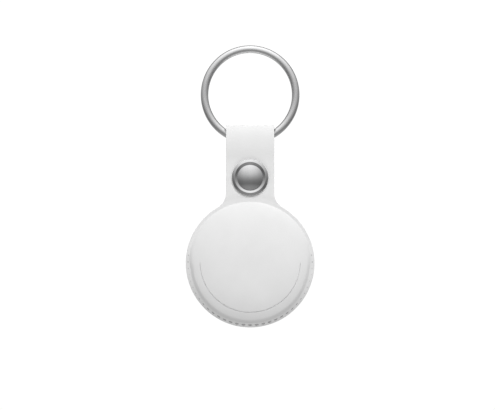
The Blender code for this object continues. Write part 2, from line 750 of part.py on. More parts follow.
def circuit_board():
    board = ring_section(BOARD_BORE, BOARD_RADIUS, BOARD_BACK, BOARD_FRONT)
    turned("circuit_board", board, board_green, tag_axis, closed=True, facets=SMALL_FACETS)
    outer = BOARD_RADIUS - ANTENNA_INSET
    low = BOARD_FRONT + FIT / 2
    antenna = ring_section(outer - ANTENNA_WIDTH, outer, low, low + ANTENNA_HEIGHT)
    turned("antenna_ring", antenna, copper, tag_axis, closed=True, facets=SMALL_FACETS)
    middle = (BOARD_BORE + outer - ANTENNA_WIDTH) / 2
    chips = (
        ("rf_shield", (3.2, 5.0, 0.6), 200, steel),
        ("radio_chip", (3.0, 3.0, 0.6), 320, chip_black),
        ("memory_chip", (2.4, 3.0, 0.5), 55, chip_black),
        ("motion_sensor", (2.0, 2.0, 0.7), 120, chip_black),
        ("timing_crystal", (1.6, 2.0, 0.5), 262, steel),
    )
    for name, size, degrees, look in chips:
        block = [side * MM for side in size]
        mesh = box_mesh(name, block, (middle, 0, low + block[2] / 2), radians(degrees))
        part(name, mesh, look, tag_axis)


def battery_tray():
    section = [
        (0, TRAY_FRONT),
        (TRAY_RADIUS - CONTACT_ROOM, TRAY_FRONT),
        (TRAY_RADIUS, TRAY_FRONT - CONTACT_ROOM - FIT),
        (TRAY_RADIUS, TRAY_RIM),
        (GROOVE_RADIUS, TRAY_RIM),
        (GROOVE_RADIUS, GROOVE_FLOOR),
        (WELL_WALL_RADIUS, GROOVE_FLOOR),
        (WELL_WALL_RADIUS, COVER_LEDGE + 2 * FIT),
        (WELL_RADIUS, COVER_LEDGE + 2 * FIT),
        (WELL_RADIUS, CELL_FRONT + FIT),
        (WELL_RADIUS - CELL_LEDGE, CELL_FRONT + FIT),
        (WELL_RADIUS - CELL_LEDGE, TRAY_BACK),
        (0, TRAY_BACK),
    ]
    tray = turned("battery_tray", section, white_plastic, tag_axis)
    for i in range(TAB_COUNT):
        cut_bayonet_slot(tray, i)
    for name, degrees in POSITIVE_CONTACTS:
        depth = TRAY_FRONT - TAB_BOTTOM + 2 * CONTACT_ROOM
        size = (TRAY_WALL / 2 + CONTACT_ROOM, CONTACT_WIDTH + 6 * FIT, depth)
        centre = (WELL_RADIUS + TRAY_WALL / 4 - CONTACT_ROOM / 2, 0, (TRAY_FRONT + TAB_BOTTOM) / 2)
        pocket = box_mesh(f"{name}_pocket", size, centre, radians(degrees))
        join(tray, helper(f"{name}_pocket", pocket, tag_axis), "DIFFERENCE")
    slot = box_mesh(
        "negative_slot",
        (4 * FIT + CONTACT_SHEET, CONTACT_WIDTH + 6 * FIT, 4 * TRAY_FLOOR),
        (negative_foot(), 0, TRAY_FRONT),
    )
    join(tray, helper("negative_slot", slot, tag_axis), "DIFFERENCE")


def cut_bayonet_slot(tray, index):
    """A pocket that a cover tab turns in, with a closer way in from behind at its unlocked end."""
    locked = tab_angle(index)
    reach = SKIRT_RADIUS + TAB_REACH + 2 * FIT
    inner = GROOVE_RADIUS - 2 * FIT
    play = 2 * FIT / SKIRT_RADIUS
    swept = sector_outline(inner, reach, locked - TWIST_ANGLE / 2, TWIST_ANGLE + TAB_ANGLE + 2 * play)
    pocket = plate_mesh(f"bayonet_pocket_{index}", swept, TAB_BOTTOM - FIT, TAB_TOP + FIT)
    join(tray, helper(f"bayonet_pocket_{index}", pocket, tag_axis), "DIFFERENCE")
    way_in = sector_outline(inner, reach - FIT, locked - TWIST_ANGLE, TAB_ANGLE + play)
    entry = plate_mesh(f"bayonet_entry_{index}", way_in, TRAY_RIM - TAB_HEIGHT, TAB_BOTTOM)
    join(tray, helper(f"bayonet_entry_{index}", entry, tag_axis), "DIFFERENCE")


def tab_angle(index):
    return pi / 2 + index * 2 * pi / TAB_COUNT


def battery_cover():
    """A domed steel disc with a skirt, and tabs that lock under the tray's ledges."""
    crown = dome(COVER_RADIUS, -COVER_EDGE, COVER_RISE, COVER_FULLNESS, 5)
    skirt_inner = SKIRT_RADIUS - COVER_SHEET
    under = [(radius, height - COVER_SHEET) for radius, height in crown if radius < skirt_inner]
    section = crown + [
        (COVER_RADIUS, -COVER_LEDGE),
        (SKIRT_RADIUS, -COVER_LEDGE),
        (SKIRT_RADIUS, -SKIRT_END),
        (skirt_inner, -SKIRT_END),
        (skirt_inner, under[-1][1] - COVER_SHEET / 2),
    ]
    cover = turned("battery_cover", flipped(section + under[::-1]), steel, tag_axis)
    for i in range(TAB_COUNT):
        outline = sector_outline(skirt_inner + FIT, SKIRT_RADIUS + TAB_REACH, tab_angle(i), TAB_ANGLE)
        tab = plate_mesh(f"cover_tab_{i}", outline, TAB_BOTTOM, TAB_TOP)
        join(cover, helper(f"cover_tab_{i}", tab, tag_axis), "UNION")
    middle = SKIRT_RADIUS - COVER_SHEET / 2
    top = GROOVE_FLOOR - FIT
    seal = ring_section(middle - SEAL_WIDTH / 2, middle + SEAL_WIDTH / 2, top - SEAL_HEIGHT, top)
    turned("cover_seal", seal, seal_rubber, tag_axis, closed=True, facets=SMALL_FACETS)


def coin_cell():
    crimp = CELL_CRIMP
    section = [
        (0, CELL_FRONT),
        (CELL_LID_RADIUS - crimp, CELL_FRONT),
        (CELL_LID_RADIUS, CELL_FRONT - 1.5 * crimp),
        (CELL_LID_RADIUS + crimp, CELL_FRONT - 1.5 * crimp),
        (CELL_LID_RADIUS + 2 * crimp, CELL_FRONT - crimp / 2),
        (CELL_RADIUS - crimp, CELL_FRONT - crimp / 2),
        (CELL_RADIUS, CELL_FRONT - 1.5 * crimp),
        (CELL_RADIUS, CELL_BACK + crimp),
        (CELL_RADIUS - crimp, CELL_BACK),
        (0, CELL_BACK),
    ]
    turned("coin_cell", section, cell_steel, tag_axis, facets=SMALL_FACETS)


def negative_foot():
    """How far from the middle the negative contact comes up through the tray's floor."""
    return BOARD_BORE + CONTACT_WIDTH / 2


def contacts():
    """Leaf springs that press on the cell: one under its lid, two on its side."""
    foot = negative_foot()
    gap = CONTACT_SHEET / 2 + FIT / 2
    lead = [(BOARD_BACK - gap, foot), (TRAY_BACK - gap - FIT / 2, foot), (CELL_FRONT + gap, CONTACT_WIDTH)]
    mesh = strip_mesh("negative_contact", lead, CONTACT_SHEET, CONTACT_WIDTH)
    mesh.transform(Matrix.Rotation(pi / 2, 4, "Y"))
    part("negative_contact", mesh, contact_gold, tag_axis)
    pocket_middle = WELL_RADIUS + TRAY_WALL / 4
    tip = CELL_RADIUS + gap + FIT / 2
    for name, degrees in POSITIVE_CONTACTS:
        bend = TAB_TOP
        lead = [(BOARD_BACK - gap, pocket_middle), (bend, pocket_middle), (TAB_BOTTOM + 2 * FIT, tip)]
        mesh = strip_mesh(name, lead, CONTACT_SHEET, CONTACT_WIDTH)
        mesh.transform(Matrix.Rotation(pi / 2 - radians(degrees), 4, "Y"))
        part(name, mesh, contact_gold, tag_axis)


POSITIVE_CONTACTS = (("positive_contact_left", 150), ("positive_contact_right", 30))

clear_scene()
parts = collection("tracker_tag_fob")
cutters = collection("cutters")

steel = material("brushed_steel", (0.62, 0.62, 0.62), 0.28, 1.0)
white_leather = material("white_leather", (0.86, 0.86, 0.86), 0.55)
white_thread = material("white_thread", (0.88, 0.88, 0.87), 0.8)
lining_cloth = material("lining_cloth", (0.8, 0.8, 0.79), 0.9)
white_plastic = material("white_plastic", (0.88, 0.88, 0.88), 0.2)
board_green = material("board_green", (0.03, 0.16, 0.08), 0.45)
chip_black = material("chip_black", (0.03, 0.03, 0.035), 0.4)
copper = material("copper", (0.72, 0.4, 0.25), 0.35, 1.0)
contact_gold = material("contact_gold", (0.8, 0.65, 0.3), 0.3, 1.0)
cell_steel = material("cell_steel", (0.7, 0.7, 0.7), 0.3, 1.0)
seal_rubber = material("seal_rubber", (0.05, 0.05, 0.05), 0.8)

ring_axis = axis_empty("ring_axis", RING_HEIGHT)
pouch_axis = axis_empty("pouch_axis", POUCH_HEIGHT, LOOP_SETBACK)
snap_axis = axis_empty("snap_axis", POUCH_HEIGHT + SNAP_TO_POUCH, LOOP_SETBACK)
tag_axis = axis_empty("tag_axis", POUCH_HEIGHT, LOOP_SETBACK)

split_ring()
front_leather()
back_leather()
strap_tail()
linings()
stitching()
press_stud()
tag_shell()
speaker()
circuit_board()
battery_tray()
battery_cover()
coin_cell()
contacts()

for piece in parts.objects:
    if piece.type == "MESH":
        piece.data.shade_smooth()
        piece.data.set_sharp_from_angle(angle=radians(35))
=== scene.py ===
"""Looks of a round tracker tag in its white leather key fob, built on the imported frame.

The frame is in metres, +Z up, with the front at -Y. Half sections are written as (radius, depth), where
depth runs backwards along +Y, and flat outlines as (x, rise), where rise runs up from the pouch's centre.
"""

import json
from math import atan2, cos, hypot, pi, radians, sin, sqrt, tan

import bmesh
import bpy
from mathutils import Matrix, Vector
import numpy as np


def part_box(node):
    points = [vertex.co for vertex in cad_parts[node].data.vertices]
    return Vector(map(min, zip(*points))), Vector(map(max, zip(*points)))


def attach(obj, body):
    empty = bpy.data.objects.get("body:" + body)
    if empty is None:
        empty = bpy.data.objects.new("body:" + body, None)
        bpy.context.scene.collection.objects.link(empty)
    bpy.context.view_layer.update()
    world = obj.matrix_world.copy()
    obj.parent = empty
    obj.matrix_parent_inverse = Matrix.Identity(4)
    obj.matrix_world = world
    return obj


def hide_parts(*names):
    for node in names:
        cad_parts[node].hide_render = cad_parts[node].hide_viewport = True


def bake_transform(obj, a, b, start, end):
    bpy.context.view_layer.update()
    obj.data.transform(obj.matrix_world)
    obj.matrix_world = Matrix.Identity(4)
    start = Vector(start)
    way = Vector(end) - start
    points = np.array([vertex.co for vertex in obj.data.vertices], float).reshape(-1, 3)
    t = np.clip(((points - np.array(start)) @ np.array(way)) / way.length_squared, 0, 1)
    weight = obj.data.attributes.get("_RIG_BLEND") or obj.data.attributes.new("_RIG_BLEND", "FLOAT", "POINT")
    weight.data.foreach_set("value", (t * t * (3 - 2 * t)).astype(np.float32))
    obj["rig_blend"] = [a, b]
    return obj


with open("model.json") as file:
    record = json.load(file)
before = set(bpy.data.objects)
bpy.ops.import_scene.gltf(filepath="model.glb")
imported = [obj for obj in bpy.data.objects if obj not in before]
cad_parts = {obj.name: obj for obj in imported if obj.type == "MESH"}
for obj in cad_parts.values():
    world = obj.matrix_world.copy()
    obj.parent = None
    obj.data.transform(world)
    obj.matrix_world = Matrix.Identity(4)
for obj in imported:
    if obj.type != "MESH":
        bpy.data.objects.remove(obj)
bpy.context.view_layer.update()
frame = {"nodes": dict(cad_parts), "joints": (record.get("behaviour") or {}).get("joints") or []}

# Tag insides: the coin cell and its leaf springs, the board with its chips, the ring antenna, and the
# speaker's magnet, yoke and coil. They are bought or stamped parts that lie in the shell and keep their
# solids' shapes. Each gets the finish of its own metal, lacquer or moulding.

MM = 0.001
MICRON = 0.000001


def finish(name, metallic=0.0):
    """A new material, with its node tree and its shader."""
    made = bpy.data.materials.new(name)
    made.use_nodes = True
    shader = made.node_tree.nodes["Principled BSDF"]
    shader.inputs["Metallic"].default_value = metallic
    return made, made.node_tree, shader


def pattern(tree, kind, size, stretch=(1, 1, 1), detail=3.0):
    """The value of a texture whose cells have a size in metres, laid on the piece's own coordinates."""
    place = tree.nodes.new("ShaderNodeTexCoord")
    mapping = tree.nodes.new("ShaderNodeMapping")
    mapping.inputs["Scale"].default_value = [along / size for along in stretch]
    texture = tree.nodes.new(kind)
    texture.inputs["Scale"].default_value = 1.0
    if "Detail" in texture.inputs:
        texture.inputs["Detail"].default_value = detail
    tree.links.new(place.outputs["Object"], mapping.inputs["Vector"])
    tree.links.new(mapping.outputs["Vector"], texture.inputs["Vector"])
    return texture.outputs[0]


def tint(tree, value, dark, light, socket, start=0.3, end=0.7):
    """Colours a socket between two shades by a pattern."""
    ramp = tree.nodes.new("ShaderNodeValToRGB")
    ramp.color_ramp.elements[0].position = start
    ramp.color_ramp.elements[0].color = (*dark, 1)
    ramp.color_ramp.elements[1].position = end
    ramp.color_ramp.elements[1].color = (*light, 1)
    tree.links.new(value, ramp.inputs["Fac"])
    tree.links.new(ramp.outputs["Color"], socket)


def spread(tree, value, low, high, socket):
    """Spreads a pattern over a range of a number."""
    scale = tree.nodes.new("ShaderNodeMapRange")
    scale.inputs["To Min"].default_value = low
    scale.inputs["To Max"].default_value = high
    tree.links.new(value, scale.inputs["Value"])
    tree.links.new(scale.outputs["Result"], socket)


def emboss(tree, value, depth, shader):
    """Raises a pattern by a depth, on top of what is raised already."""
    bump = tree.nodes.new("ShaderNodeBump")
    bump.inputs["Distance"].default_value = depth
    tree.links.new(value, bump.inputs["Height"])
    normal = shader.inputs["Normal"]
    if normal.is_linked:
        tree.links.new(normal.links[0].from_socket, bump.inputs["Normal"])
    tree.links.new(bump.outputs["Normal"], normal)


def mottled(name, dark, light, patch, roughness, grain, depth, metallic=0.0):
    """A finish that drifts between two shades over patches, with a fine grain in its gloss and surface."""
    made, tree, shader = finish(name, metallic)
    drift = pattern(tree, "ShaderNodeTexNoise", patch)
    tint(tree, drift, dark, light, shader.inputs["Base Color"])
    fine = pattern(tree, "ShaderNodeTexNoise", grain)
    spread(tree, fine, roughness[0], roughness[1], shader.inputs["Roughness"])
    emboss(tree, fine, depth, shader)
    return made


def dress(look, *names):
    """Gives solids that keep their own shape their finish."""
    for name in names:
        solid = frame["nodes"][name]
        solid.data.materials.clear()
        solid.data.materials.append(look)


def lacquered_board():
    """Green solder mask over copper tracks, which show as lighter lines."""
    made, tree, shader = finish("solder_mask")
    shader.inputs["Coat Weight"].default_value = 0.4
    tracks = pattern(tree, "ShaderNodeTexVoronoi", 0.9 * MM)
    tint(tree, tracks, (0.06, 0.24, 0.12), (0.02, 0.12, 0.06), shader.inputs["Base Color"], 0.28, 0.36)
    dust = pattern(tree, "ShaderNodeTexNoise", 0.3 * MM)
    spread(tree, dust, 0.3, 0.5, shader.inputs["Roughness"])
    emboss(tree, tracks, 12 * MICRON, shader)
    return made


def wound_copper():
    """Enamelled copper wire, wound in fine turns."""
    made, tree, shader = finish("wound_copper", 1.0)
    turns = pattern(tree, "ShaderNodeTexWave", 0.35 * MM, (0, 1, 0))
    tint(tree, turns, (0.4, 0.16, 0.07), (0.78, 0.4, 0.22), shader.inputs["Base Color"], 0.1, 0.8)
    enamel = pattern(tree, "ShaderNodeTexNoise", 0.5 * MM)
    spread(tree, enamel, 0.22, 0.42, shader.inputs["Roughness"])
    emboss(tree, turns, 25 * MICRON, shader)
    return made


nickel = mottled(
    "nickel_plate",
    dark=(0.6, 0.59, 0.57),
    light=(0.74, 0.73, 0.71),
    patch=4 * MM,
    roughness=(0.2, 0.38),
    grain=0.12 * MM,
    depth=1.5 * MICRON,
    metallic=1.0,
)
gold_flash = mottled(
    "gold_flash",
    dark=(0.72, 0.5, 0.2),
    light=(0.88, 0.68, 0.32),
    patch=2 * MM,
    roughness=(0.18, 0.34),
    grain=0.1 * MM,
    depth=1.5 * MICRON,
    metallic=1.0,
)
plated_steel = mottled(
    "plated_steel",
    dark=(0.42, 0.42, 0.43),
    light=(0.58, 0.58, 0.59),
    patch=3 * MM,
    roughness=(0.25, 0.42),
    grain=0.15 * MM,
    depth=2 * MICRON,
    metallic=1.0,
)
antenna_copper = mottled(
    "antenna_copper",
    dark=(0.6, 0.28, 0.14),
    light=(0.8, 0.44, 0.27),
    patch=1.5 * MM,
    roughness=(0.25, 0.42),
    grain=0.1 * MM,
    depth=2 * MICRON,
    metallic=1.0,
)
epoxy = mottled(
    "moulded_epoxy",
    dark=(0.018, 0.018, 0.02),
    light=(0.04, 0.04, 0.044),
    patch=1 * MM,
    roughness=(0.4, 0.62),
    grain=0.08 * MM,
    depth=4 * MICRON,
)
dress(nickel, "coin_cell")
dress(gold_flash, "negative_contact", "positive_contact_left", "positive_contact_right")
dress(plated_steel, "speaker_magnet", "magnet_yoke", "rf_shield", "timing_crystal")
dress(antenna_copper, "antenna_ring")
dress(epoxy, "radio_chip", "memory_chip", "motion_sensor")
dress(lacquered_board(), "circuit_board")
dress(wound_copper(), "speaker_coil")

# Tag shell, tray and seal: the shell is moulded in glossy white plastic and closed from behind by a satin
# tray, which clips in its bore and holds the cell. A black rubber ring lies in the tray's groove.

TAG_STEPS = 160


def hinge_place(name):
    """Where the frame has a joint's hinge."""
    return next(joint["pos_m"] for joint in frame["joints"] if joint["name"] == name)


def alone(piece):
    """Selects one piece and makes it the active one."""
    bpy.ops.object.select_all(action="DESELECT")
    piece.select_set(True)
    bpy.context.view_layer.objects.active = piece


def edit(piece, mode="VERT"):
    """Opens one piece in edit mode."""
    alone(piece)
    bpy.ops.object.mode_set(mode="EDIT")
    bpy.ops.mesh.select_mode(type=mode)


def named(name):
    """The piece that was made last, with its name."""
    made = bpy.context.object
    made.name = name
    made.data.name = name
    return made


def looped(name, points):
    """A closed loop of edges, started as a circle whose points are moved to their places."""
    bpy.ops.object.select_all(action="DESELECT")
    bpy.ops.mesh.primitive_circle_add(vertices=len(points), radius=MM)
    made = named(name)
    for vertex, point in zip(made.data.vertices, points):
        vertex.co = point
    return made


def close_up():
    """Merges what a spin left double, and points all faces outwards."""
    bpy.ops.mesh.select_all(action="SELECT")
    bpy.ops.mesh.remove_doubles(threshold=0.2 * MICRON)
    bpy.ops.mesh.delete_loose()
    bpy.ops.mesh.select_all(action="SELECT")
    bpy.ops.mesh.normals_make_consistent(inside=False)
    bpy.ops.mesh.select_all(action="DESELECT")


def turned(name, section, height, steps):
    """A half section of (radius, depth) points, spun once about the line from front to back at a height."""
    made = looped(name, [(radius, depth, height) for radius, depth in section])
    edit(made)
    bpy.ops.mesh.select_all(action="SELECT")
    bpy.ops.mesh.spin(steps=steps, angle=2 * pi, center=(0, 0, height), axis=(0, 1, 0))
    close_up()
    bpy.ops.object.mode_set(mode="OBJECT")
    return made


def smooth(piece, look, sharp=35):
    """Shades a piece smooth up to an angle in degrees, and gives it its finish."""
    alone(piece)
    bpy.ops.object.shade_smooth_by_angle(angle=radians(sharp))
    piece.data.materials.append(look)
    return piece


def bulge(share, fullness):
    """Height of a dome, 1 in its middle and 0 at its foot, at a share of its radius."""
    return max(0.0, 1 - share**fullness) ** (2 / fullness)


def domed(radius, foot, height, fullness, points):
    """Points of a dome from its middle to its foot, closer together towards the foot."""
    shares = [sin(pi / 2 * i / points) for i in range(points + 1)]
    return [(share * radius, foot + height * bulge(share, fullness)) for share in shares]


POUCH_Y, POUCH_Z = hinge_place("tag_turn")[1:]
shell_low, shell_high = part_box("tag_shell")
SHELL_RADIUS = shell_high.x
SHELL_FRONT = shell_low.y
SHELL_RIM = shell_high.y
SHELL_EQUATOR = SHELL_FRONT + 4.5 * MM
SHELL_WALL = 1.0 * MM
SHELL_BORE = SHELL_RADIUS - 2.0 * MM
SHELL_RIM_RADIUS = SHELL_BORE + 0.75 * MM
SHELL_FOOT = SHELL_EQUATOR - 0.25 * MM
SHELL_FULLNESS = 3.8
SHELL_POINTS = 28
SHELL_LIP_POINTS = 12
SHELL_INSIDE_POINTS = 20
shell_rise = SHELL_FRONT - SHELL_EQUATOR
shell_section = domed(SHELL_RADIUS, SHELL_EQUATOR, shell_rise, SHELL_FULLNESS, SHELL_POINTS)
for i in range(1, SHELL_LIP_POINTS + 1):
    lip = pi / 2 * i / SHELL_LIP_POINTS
    across = SHELL_RIM_RADIUS + (SHELL_RADIUS - SHELL_RIM_RADIUS) * cos(lip)
    shell_section.append((across, SHELL_EQUATOR + (SHELL_RIM - SHELL_EQUATOR) * sin(lip)))
shell_section.append((SHELL_BORE, SHELL_RIM))
inside_rise = SHELL_FRONT + SHELL_WALL - SHELL_FOOT
shell_section += domed(SHELL_BORE, SHELL_FOOT, inside_rise, SHELL_FULLNESS, SHELL_INSIDE_POINTS)[::-1]
gloss_plastic = mottled(
    "gloss_white_plastic",
    dark=(0.84, 0.84, 0.84),
    light=(0.88, 0.88, 0.88),
    patch=9 * MM,
    roughness=(0.12, 0.2),
    grain=0.4 * MM,
    depth=1 * MICRON,
)
tag_dome = smooth(turned("tag_dome", shell_section, POUCH_Z, TAG_STEPS), gloss_plastic)
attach(tag_dome, "tag")
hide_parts("tag_shell")

satin_plastic = mottled(
    "satin_white_plastic",
    dark=(0.8, 0.8, 0.8),
    light=(0.85, 0.85, 0.85),
    patch=6 * MM,
    roughness=(0.36, 0.52),
    grain=0.09 * MM,
    depth=3 * MICRON,
)
rubber = mottled(
    "seal_rubber",
    dark=(0.02, 0.02, 0.02),
    light=(0.05, 0.05, 0.05),
    patch=2 * MM,
    roughness=(0.7, 0.9),
    grain=0.1 * MM,
    depth=5 * MICRON,
)
dress(satin_plastic, "battery_tray")
dress(rubber, "cover_seal")

# Battery cover: a shallow dish pressed from polished stainless steel, with a skirt that drops in the tray's
# groove and three tabs that lock under its ledges when the cover is twisted.

cover_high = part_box("battery_cover")[1]
COVER_RADIUS = 12.6 * MM
COVER_BACK = cover_high.y
COVER_RISE = 0.95 * MM
COVER_SHEET = 0.4 * MM
COVER_FULLNESS = 5.5
COVER_POINTS = 36
SKIRT_RADIUS = COVER_RADIUS - 0.2 * MM
SKIRT_LENGTH = 1.3 * MM
TAB_HEIGHT = 0.5 * MM
TAB_REACH = 0.55 * MM
TAB_SETBACK = 0.1 * MM
TAB_HALF_ANGLE = radians(7)
TAB_ANGLES = [radians(90), radians(210), radians(330)]
cover_edge = COVER_BACK - COVER_RISE
skirt_top = cover_edge - COVER_SHEET
skirt_end = skirt_top - SKIRT_LENGTH
skirt_inner = SKIRT_RADIUS - COVER_SHEET
tab_front = skirt_end + TAB_SETBACK
tab_back = tab_front + TAB_HEIGHT
cover_section = domed(COVER_RADIUS, cover_edge, COVER_RISE, COVER_FULLNESS, COVER_POINTS)
cover_section += [
    (COVER_RADIUS, skirt_top),
    (SKIRT_RADIUS, skirt_top),
    (SKIRT_RADIUS, tab_back),
    (SKIRT_RADIUS, tab_front),
    (SKIRT_RADIUS, skirt_end),
    (skirt_inner, skirt_end),
]
dish = domed(COVER_RADIUS, skirt_top, COVER_RISE, COVER_FULLNESS, COVER_POINTS)
cover_section += [point for point in dish if point[0] < skirt_inner][::-1]


def brushed_steel(name, dark, light, roughness, stretch):
    """Steel with polishing marks along one direction, and a drift in its brightness."""
    made, tree, shader = finish(name, 1.0)
    drift = pattern(tree, "ShaderNodeTexNoise", 5 * MM)
    tint(tree, drift, dark, light, shader.inputs["Base Color"])
    marks = pattern(tree, "ShaderNodeTexNoise", 0.06 * MM, stretch, detail=5.0)
    spread(tree, marks, roughness[0], roughness[1], shader.inputs["Roughness"])
    emboss(tree, marks, 0.6 * MICRON, shader)
    return made


def angle_of(point):
    """Angle of a point about the pouch's centre in the front view, from 0 at the right, anticlockwise."""
    return atan2(point[2] - POUCH_Z, point[0]) % (2 * pi)


def reach_of(point):
    """Distance of a point from the pouch's centre in the front view."""
    return hypot(point[0], point[2] - POUCH_Z)


cover = turned("cover_dish", cover_section, POUCH_Z, TAG_STEPS)
edit(cover, "FACE")
shape = bmesh.from_edit_mesh(cover.data)
for face in shape.faces:
    middle = face.calc_center_median()
    on_band = tab_front < middle.y < tab_back and reach_of(middle) > SKIRT_RADIUS - COVER_SHEET / 2
    face.select = on_band and any(abs(angle_of(middle) - at) < TAB_HALF_ANGLE for at in TAB_ANGLES)
bmesh.update_edit_mesh(cover.data)
bpy.ops.mesh.extrude_region_shrink_fatten(TRANSFORM_OT_shrink_fatten={"value": TAB_REACH})
bpy.ops.object.mode_set(mode="OBJECT")
cover_steel = brushed_steel(
    "cover_steel",
    dark=(0.66, 0.66, 0.66),
    light=(0.7, 0.7, 0.7),
    roughness=(0.1, 0.2),
    stretch=(1, 1, 0.12),
)
smooth(cover, cover_steel)
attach(cover, "cover")
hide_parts("battery_cover")

# Linings: thin cloth with a short brushed nap, glued inside both leaves so that the tag doesn't rub on bare
# leather. They keep their solids' shapes.


def brushed_cloth():
    """A short-napped cloth with its weave just showing."""
    made, tree, shader = finish("brushed_cloth")
    shader.inputs["Sheen Weight"].default_value = 0.3
    weave = pattern(tree, "ShaderNodeTexVoronoi", 0.25 * MM)
    tint(tree, weave, (0.82, 0.82, 0.81), (0.66, 0.66, 0.65), shader.inputs["Base Color"], 0.1, 0.9)
    nap = pattern(tree, "ShaderNodeTexNoise", 0.12 * MM)
    spread(tree, nap, 0.8, 0.98, shader.inputs["Roughness"])
    emboss(tree, weave, 30 * MICRON, shader)
    emboss(tree, nap, 15 * MICRON, shader)
    return made


dress(brushed_cloth(), "front_lining", "back_lining")

# Back leaf: white leather cut as a round half of the pouch with a neck tab, pressed over a form into a flat
# face with a rounded shoulder. A round window shows the battery cover, and a hole in the tab lets the press
# stud through. Its cut edges are rounded.

snap_low, snap_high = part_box("snap_cap")
leaf_low, leaf_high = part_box("front_leather")
SNAP_Z = (snap_low.z + snap_high.z) / 2
SNAP_RISE = SNAP_Z - POUCH_Z
POUCH_RADIUS = leaf_high.x
STRAP_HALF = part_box("strap_tail")[1].x
LEATHER = 1.0 * MM
FLANGE_WIDTH = 1.25 * MM
FLANGE_DROP = 1.1 * MM
NECK_FILLET = 5.5 * MM
DOME_RADIUS = POUCH_RADIUS - FLANGE_WIDTH
BACK_FLANGE = POUCH_Y - 0.15 * MM
BACK_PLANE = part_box("back_leather")[1].y
BACK_SHOULDER = 3.5 * MM
BACK_FULLNESS = 2.3
WINDOW_RADIUS = 13.1 * MM
STUD_HOLE_RADIUS = 5.0 * MM
CREASE_ROUND = 0.06 * MM
EDGE_ROUND = 0.14 * MM
STITCHES_A_TURN = 59
STITCH_PITCH = 2 * pi / STITCHES_A_TURN
STITCHES_EACH_SIDE = 17
STEPS_A_STITCH = 8
LEAF_STEPS = STITCHES_A_TURN * STEPS_A_STITCH
SEAM_RADIUS = 19.55 * MM
DIMPLE_LENGTH = 1.7 * MM
DIMPLE_WIDTH = 0.8 * MM
DIMPLE_DEPTH = 0.08 * MM
PULL_AT_SIDES = 0.03
PULL_FULL = radians(10)
PULL_FADE = radians(50)
BOTTOM = 3 * pi / 2
LEAN_SWING = 0.4
LEAN_FULL = radians(80)
LEAN_FADE = radians(40)
RUN_OUT_SLOPE = 0.9
SIDE_COLUMN = 0.999
SHARP_EDGE = radians(50)
EDGE_PIECES = 4
HOLE_SIDES = 96
FLAT_POINTS = 5
SHOULDER_POINTS = 22
FLANGE_POINTS = 13
INNER_POINTS = 12
NECK_ROWS = 12
TAB_ROWS = 24


def leather(name, dark, light, roughness, pebble, depth):
    """Dyed leather: a pebbled grain with fine pores, and a slight drift in its dye."""
    made, tree, shader = finish(name)
    drift = pattern(tree, "ShaderNodeTexNoise", 7 * MM)
    tint(tree, drift, dark, light, shader.inputs["Base Color"])
    pebbles = pattern(tree, "ShaderNodeTexVoronoi", pebble)
    pores = pattern(tree, "ShaderNodeTexNoise", pebble / 3)
    spread(tree, pores, roughness[0], roughness[1], shader.inputs["Roughness"])
    emboss(tree, pebbles, depth, shader)
    emboss(tree, pores, depth / 2, shader)
    return made


grain_side = leather(
    "white_leather_grain",
    dark=(0.845, 0.845, 0.845),
    light=(0.875, 0.875, 0.875),
    roughness=(0.5, 0.64),
    pebble=0.42 * MM,
    depth=9 * MICRON,
)
FILLET_X = STRAP_HALF + NECK_FILLET
FILLET_RISE = sqrt((POUCH_RADIUS + NECK_FILLET) ** 2 - FILLET_X**2)
toe = atan2(FILLET_RISE, FILLET_X)


def eased(share):
    """A smooth step from 0 to 1."""
    share = min(1.0, max(0.0, share))
    return share * share * (3 - 2 * share)


def neck_point(share, column):
    """(x, rise) on the neck, from the pouch's round edge at share 0 to the straight strap at share 1.

    column runs from -1 at the neck's left side to 1 at its right side.
    """
    turn = pi + toe * (1 - share)
    side_x = FILLET_X + NECK_FILLET * cos(turn)
    side_rise = FILLET_RISE + NECK_FILLET * sin(turn)
    opening = pi / 2 - toe
    round_x = sin(column * opening) / sin(opening)
    crown = POUCH_RADIUS * (cos(column * opening) - cos(opening)) * (1 - share)
    return side_x * (round_x + (column - round_x) * share), side_rise + crown


def softened(height, width):
    """A height that runs out into the flat over a width, in place of a sharp crease."""
    return (height + sqrt(height * height + width * width)) / 2


def from_bottom(point):
    """Angle of a point about the pouch's centre from its lowest point, from minus to plus half a turn."""
    return (angle_of(point) - BOTTOM + pi) % (2 * pi) - pi


def flange_drop(point):
    """How far the sewn flange leans back: most between bottom and side, and not at all at the neck."""
    out = max(0.0, (reach_of(point) - DOME_RADIUS) / FLANGE_WIDTH)
    turn = from_bottom(point)
    below_neck = 1 - eased((abs(turn) - LEAN_FULL) / LEAN_FADE)
    lean = 1 + LEAN_SWING * (1 - cos(4 * turn)) / 2
    return FLANGE_DROP * out * below_neck * lean


def pull(turn):
    """How hard the thread pulls, from 0 to 1, at an angle from the bottom, where it is tightest."""
    return max(PULL_AT_SIDES, 1 - eased((abs(turn) - PULL_FULL) / PULL_FADE))


def dimple(point):
    """How deep a point of the flange lies in the dimple of a stitch."""
    turn = from_bottom(point)
    number = round(turn / STITCH_PITCH)
    if abs(number) > STITCHES_EACH_SIDE:
        return 0.0
    along = (turn - number * STITCH_PITCH) * SEAM_RADIUS / (DIMPLE_LENGTH / 2)
    across = (reach_of(point) - SEAM_RADIUS) / (DIMPLE_WIDTH / 2)
    return DIMPLE_DEPTH * pull(turn) * eased(2 * (1 - abs(along))) * eased(1 - abs(across))


